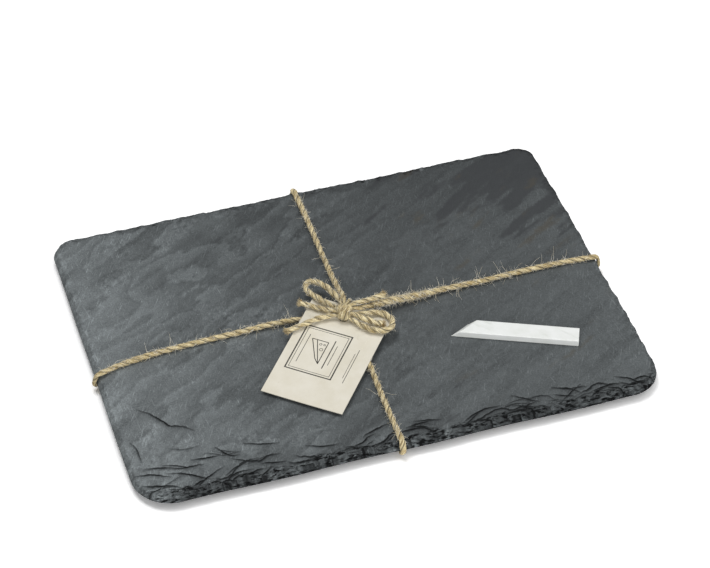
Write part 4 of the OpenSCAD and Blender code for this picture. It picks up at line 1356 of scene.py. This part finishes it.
def soapstone():
    """A rounded rectangle carried along the stick, from the slanted and sloped cut to the square end. At each
    end three rings draw in by the edge's radius, 1 − cos, as they go out by its sine."""
    r = STICK_EDGE_R
    half = np.array([STICK_W / 2 - r, STICK_THICK / 2 - r])
    arcs = []
    for k in range(-1, 3):
        a = np.linspace(0, math.pi / 2, 6) + math.pi / 2 * k
        arcs.append(np.stack([np.cos(a), np.sin(a)], axis=1))
    bends = [half * sign + r * arc for sign, arc in zip(((1, -1), (1, 1), (-1, 1), (-1, -1)), arcs)]
    # Points along the flats keep the faces near square
    loop, facing = [], []
    for k in range(4):
        a, b = bends[k][-1], bends[(k + 1) % 4][0]
        count = max(int(np.linalg.norm(b - a) / 1.2), 1)
        flat = a + (b - a) * (np.arange(1, count) / count)[:, None]
        loop += [bends[k], flat]
        facing += [arcs[k], np.repeat(arcs[k][-1:], count - 1, axis=0)]
    loop, facing = np.concatenate(loop), np.concatenate(facing)
    y, z = loop[:, 0], loop[:, 1] + STICK_THICK / 2
    cut = -STICK_LENGTH + STICK_SLANT * (y + STICK_W / 2) / STICK_W + STICK_SLOPE * z / STICK_THICK
    bevel = [(r * (1 - wave(a)), r * (1 - math.cos(math.radians(a)))) for a in (60, 30, 0)]
    rings = [(cut + back, draw) for back, draw in bevel]
    rings += [(cut * (1 - t), 0) for t in np.linspace(0, 1, STICK_RINGS)[1:-1]]
    rings += [(np.full_like(y, -back), draw) for back, draw in bevel[::-1]]
    hoops = []
    for x, draw in rings:
        across = loop + [0, STICK_THICK / 2] - facing * draw
        wear = np.maximum(0.06 * fractal(x / 6, (across[:, 0] + 2 * across[:, 1]) / 4, 51, 3), 0)
        hoops.append(np.column_stack([x, across - facing * wear[:, None]]))
    points, faces = tube(np.stack(hoops))
    points = points @ about_z(STICK_TURN).T + [*STICK_END, TOP_Z]
    obj = add_piece("soapstone", points, faces, SOAPSTONE, "soapstone", "soapstone")
    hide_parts("soapstone_stick")


soapstone()


# Feet and their adhesive discs, which keep the frame's own shapes

def dress_nodes():
    for name, obj in frame["nodes"].items():
        finish = {"foot": RUBBER, "adhesive": TAPE}.get(name.split("_")[0])
        if finish:
            for slot in obj.material_slots:
                slot.material = finish


dress_nodes()


# Studio

# Light of the world, as a share of what makes a white floor white
WORLD_SHARE = 0.31
# The floor's own grey, how bright the camera sees it, and half its side in metres
FLOOR_GREY, FLOOR_SEEN, FLOOR_HALF = 0.8, 1.37, 6.0
# Soft boxes: azimuth and elevation in degrees, distance and size in metres, and share of the light
SOFT_BOXES = {
    "key_behind": (145, 74, 1.6, 0.8, 0.47),
    "fill_above": (-30, 66, 1.6, 1.0, 0.13),
    "fill_in_front": (-15, 16, 2.2, 1.0, 0.13),
}


def floor():
    """A pale floor that the camera sees a little brighter than it is, so that it reads as white and keeps the
    board's shadow."""
    material = bpy.data.materials.new("white_floor")
    tree = emptied(material)
    rays = add(tree, "ShaderNodeLightPath").outputs
    seen = add(tree, MATH, {0: rays["Is Camera Ray"], 1: rays["Is Glossy Ray"]}, operation="MAXIMUM")
    levels = {0: seen, 6: [FLOOR_GREY] * 3 + [1], 7: [FLOOR_SEEN] * 3 + [1]}
    level = add(tree, MIX, levels, data_type="RGBA").outputs[2]
    shader = add(tree, "ShaderNodeBsdfDiffuse", {"Color": level})
    add(tree, "ShaderNodeOutputMaterial", {"Surface": shader})
    mesh = bpy.data.meshes.new("floor")
    corners = [(sx * FLOOR_HALF, sy * FLOOR_HALF, 0) for sx, sy in ((-1, -1), (1, -1), (1, 1), (-1, 1))]
    mesh.from_pydata(corners, [], [(0, 1, 2, 3)])
    mesh.materials.append(material)
    placed("floor", mesh)


def world():
    """Even soft light from all round, white where the camera sees it."""
    studio = bpy.data.worlds.new("studio")
    bpy.context.scene.world = studio
    tree = emptied(studio)
    rays = add(tree, "ShaderNodeLightPath")
    strength = add(tree, MIX, {0: rays.outputs["Is Camera Ray"], 2: WORLD_SHARE, 3: 1.0})
    light = add(tree, "ShaderNodeBackground", {"Color": (1, 1, 1, 1), "Strength": strength})
    add(tree, "ShaderNodeOutputWorld", {"Surface": light})


def soft_box(name, azimuth, elevation, distance, size, share):
    """A square soft box that sends its share of a white floor's light down to the board: its power is
    share·π²·distance² / sin elevation."""
    data = bpy.data.lights.new(name, "AREA")
    data.shape = "SQUARE"
    data.size = size
    elevation = math.radians(elevation)
    data.energy = share * math.pi**2 * distance**2 / math.sin(elevation)
    right, up, back = aim(math.radians(azimuth), elevation)
    place_at(placed(name, data), right, up, back, distance / MM * back)


floor()
world()
for box_name, box in SOFT_BOXES.items():
    soft_box(box_name, *box)
bpy.context.scene.view_settings.view_transform = "Standard"
